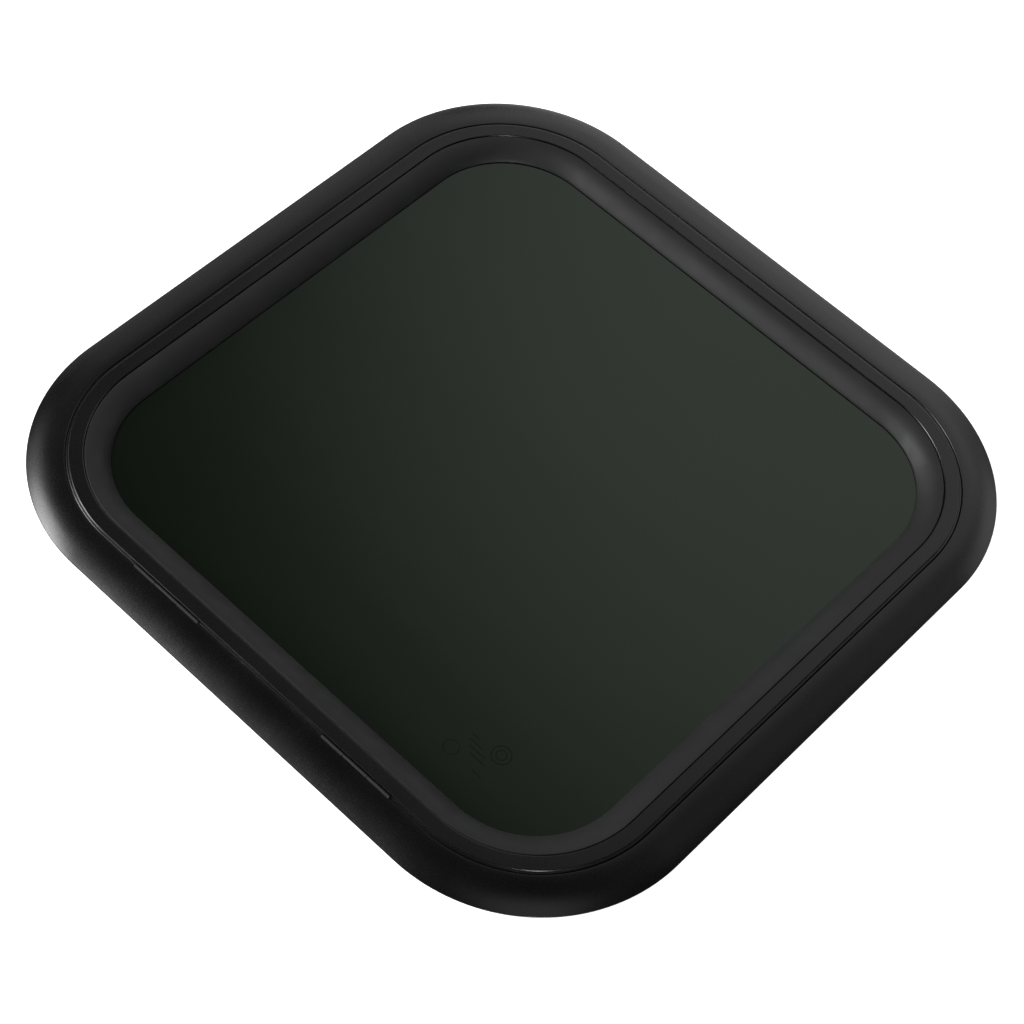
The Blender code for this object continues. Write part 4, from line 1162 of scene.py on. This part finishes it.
# The generic mark on the glass.
MARK_CENTRE = (-0.1184, 0.1643)
MARK_LINE = 0.0006
MARK_LIFT = 0.00002
MARK_THICKNESS = 0.00003
# Each ring is x, y and radius, and each bar x, y and length, all from the mark's middle.
MARK_RINGS = ((0.0121, 0.0086, 0.0052), (-0.0121, -0.0086, 0.0064), (-0.0121, -0.0086, 0.0036))
MARK_BARS = (
    (0.0070, -0.0068, 0.0060),
    (0.0030, -0.0035, 0.0110),
    (-0.0005, 0.0, 0.0130),
    (-0.0040, 0.0036, 0.0120),
    (-0.0100, 0.0108, 0.0070),
)


def mark_material():
    """Dull dark print."""
    s = Surface("glass_mark", 0.6, specular=0.1)
    return s.finish(s.mix(s.noise(900, 2), (0.003, 0.004, 0.003), (0.006, 0.007, 0.006)))


def build_mark():
    """Plain rings and a few short bars, printed on the pane."""
    bm = bmesh.new()
    low = GLASS_HIGH + MARK_LIFT
    high = low + MARK_THICKNESS
    for x, y, radius in MARK_RINGS:
        inner = radius - MARK_LINE
        profile = [(inner, high), (inner, low), (radius, low), (radius, high)]
        add_turned(bm, profile, closed=True, centre=(MARK_CENTRE[0] + x, MARK_CENTRE[1] + y, 0))
    for x, y, length in MARK_BARS:
        left = MARK_CENTRE[0] + x - length / 2
        front = MARK_CENTRE[1] + y - MARK_LINE / 2
        right, back = left + length, front + MARK_LINE
        add_prism(bm, [(left, front), (right, front), (right, back), (left, back)], low, high)
    mesh = smooth_mesh("glass_mark", bm)
    mesh.materials.append(mark_material())
    obj = new_object("glass_mark", mesh)
    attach(obj, "lid")


# The studio. The camera's distance and shifts are in sides of the hatch.
CAMERA_AZIMUTH = math.radians(214.24)
CAMERA_ELEVATION = math.radians(56.07)
CAMERA_ROLL = math.radians(10.70)
CAMERA_DISTANCE = 3.115
CAMERA_SHIFT_RIGHT = -0.0107
CAMERA_SHIFT_UP = -0.0561
CAMERA_LENS = 87.2
FLOOR_SIZE = 12.0
FLOOR_DROP = 0.0002
FLOOR_GLOW = 1.0
STUDIO_GLOW = 0.015
WALL_GLOW = 1.0
# Each soft box is its tilt from straight up, its azimuth from +X and its half width, all in degrees,
# and its strength.
SOFT_BOXES = (
    # Opposite the camera, high up, for the pane and the flat band.
    (43, 288, 21.5, 0.73),
    (42, 250, 22, 0.30),
    (42, 324, 22, 0.07),
    # Opposite the camera, lower down, for the slopes of the flange and the bead.
    (62, 245, 20, 1.10),
    (62, 270, 20, 0.50),
    (62, 295, 20, 0.55),
    (62, 320, 20, 0.50),
    (82, 292, 24, 0.65),
    # Overhead, on the camera's side.
    (20, 150, 18, 0.65),
    # On the camera's left, small and strong, for the bright edge and lips of the hinge side.
    (52, 5, 12, 1.3),
    (44, 22, 12, 13.0),
    (48, 40, 12, 18.0),
    (72, 43, 12, 22.0),
    # Behind the camera, small, strong and low, for the edges that face it.
    (82, 141, 8, 50.0),
    # Opposite the camera, low and to its left, for the far corner.
    (82, 335, 20, 0.35),
)


def build_floor():
    """A white ground that glows, so that no shadow shows on it."""
    bm = bmesh.new()
    half = FLOOR_SIZE / 2
    height = CAD_LOW.z - FLOOR_DROP
    corners = ((-half, -half), (half, -half), (half, half), (-half, half))
    bm.faces.new([bm.verts.new((x, y, height)) for x, y in corners])
    mesh = smooth_mesh("floor", bm)
    s = Surface("floor", 0.9, specular=0.1)
    s.shader.inputs["Emission Color"].default_value = (1.0, 1.0, 1.0, 1.0)
    s.shader.inputs["Emission Strength"].default_value = FLOOR_GLOW
    mesh.materials.append(s.finish(s.mix(s.noise(3, 2), (0.80, 0.80, 0.80), (0.82, 0.82, 0.82))))
    floor = new_object("floor", mesh)


def direction_of(tilt, azimuth):
    """The unit vector `tilt` degrees from straight up, `azimuth` degrees round from +X."""
    return Vector((
        math.sin(math.radians(tilt)) * math.cos(math.radians(azimuth)),
        math.sin(math.radians(tilt)) * math.sin(math.radians(azimuth)),
        math.cos(math.radians(tilt)),
    ))


def build_world():
    """A dark studio with soft boxes round it, and a pale wall for the camera's own rays."""
    world = bpy.data.worlds.new("studio")
    bpy.context.scene.world = world
    world.use_nodes = True
    tree = world.node_tree
    background = tree.nodes["Background"]
    background.inputs["Color"].default_value = (1.0, 1.0, 1.0, 1.0)
    direction = tree.nodes.new("ShaderNodeTexCoord").outputs["Generated"]
    total = None
    for tilt, azimuth, half_width, strength in SOFT_BOXES:
        dot = tree.nodes.new("ShaderNodeVectorMath")
        dot.operation = "DOT_PRODUCT"
        tree.links.new(direction, dot.inputs[0])
        dot.inputs[1].default_value = direction_of(tilt, azimuth)
        box = tree.nodes.new("ShaderNodeMapRange")
        box.interpolation_type = "SMOOTHSTEP"
        box.inputs["From Min"].default_value = math.cos(math.radians(half_width))
        box.inputs["To Max"].default_value = strength
        tree.links.new(dot.outputs["Value"], box.inputs["Value"])
        add = tree.nodes.new("ShaderNodeMath")
        tree.links.new(box.outputs["Result"], add.inputs[0])
        if total is None:
            add.inputs[1].default_value = STUDIO_GLOW
        else:
            tree.links.new(total, add.inputs[1])
        total = add.outputs["Value"]
    seen = tree.nodes.new("ShaderNodeLightPath").outputs["Is Camera Ray"]
    choice = tree.nodes.new("ShaderNodeMix")
    choice.data_type = "FLOAT"
    tree.links.new(seen, choice.inputs["Factor"])
    tree.links.new(total, choice.inputs["A"])
    choice.inputs["B"].default_value = WALL_GLOW
    tree.links.new(choice.outputs["Result"], background.inputs["Strength"])


def build_camera():
    """The camera looks at the hatch's middle, moved sideways and up within its own frame."""
    cos_elevation = math.cos(CAMERA_ELEVATION)
    back = Vector((
        math.sin(CAMERA_AZIMUTH) * cos_elevation,
        -math.cos(CAMERA_AZIMUTH) * cos_elevation,
        math.sin(CAMERA_ELEVATION),
    ))
    right = Vector((math.cos(CAMERA_AZIMUTH), math.sin(CAMERA_AZIMUTH), 0))
    up = back.cross(right)
    cos_roll, sin_roll = math.cos(CAMERA_ROLL), math.sin(CAMERA_ROLL)
    right, up = right * cos_roll + up * sin_roll, up * cos_roll - right * sin_roll
    side = 2 * HALF_SIDE
    data = bpy.data.cameras.new("camera")
    data.lens = CAMERA_LENS
    camera = new_object("camera", data)
    camera.location = side * (back * CAMERA_DISTANCE + right * CAMERA_SHIFT_RIGHT + up * CAMERA_SHIFT_UP)
    camera.rotation_mode = "QUATERNION"
    camera.rotation_quaternion = Matrix((right, up, back)).transposed().to_quaternion()
    bpy.context.scene.camera = camera


def build_stage():
    build_floor()
    build_world()
    build_camera()
    bpy.context.scene.view_settings.view_transform = "Standard"


build_base()
build_clamp_ring()
build_lid()
build_glass()
build_mark()
build_screws()
build_leaf_screws()
build_hinges()
build_handles()
build_stage()
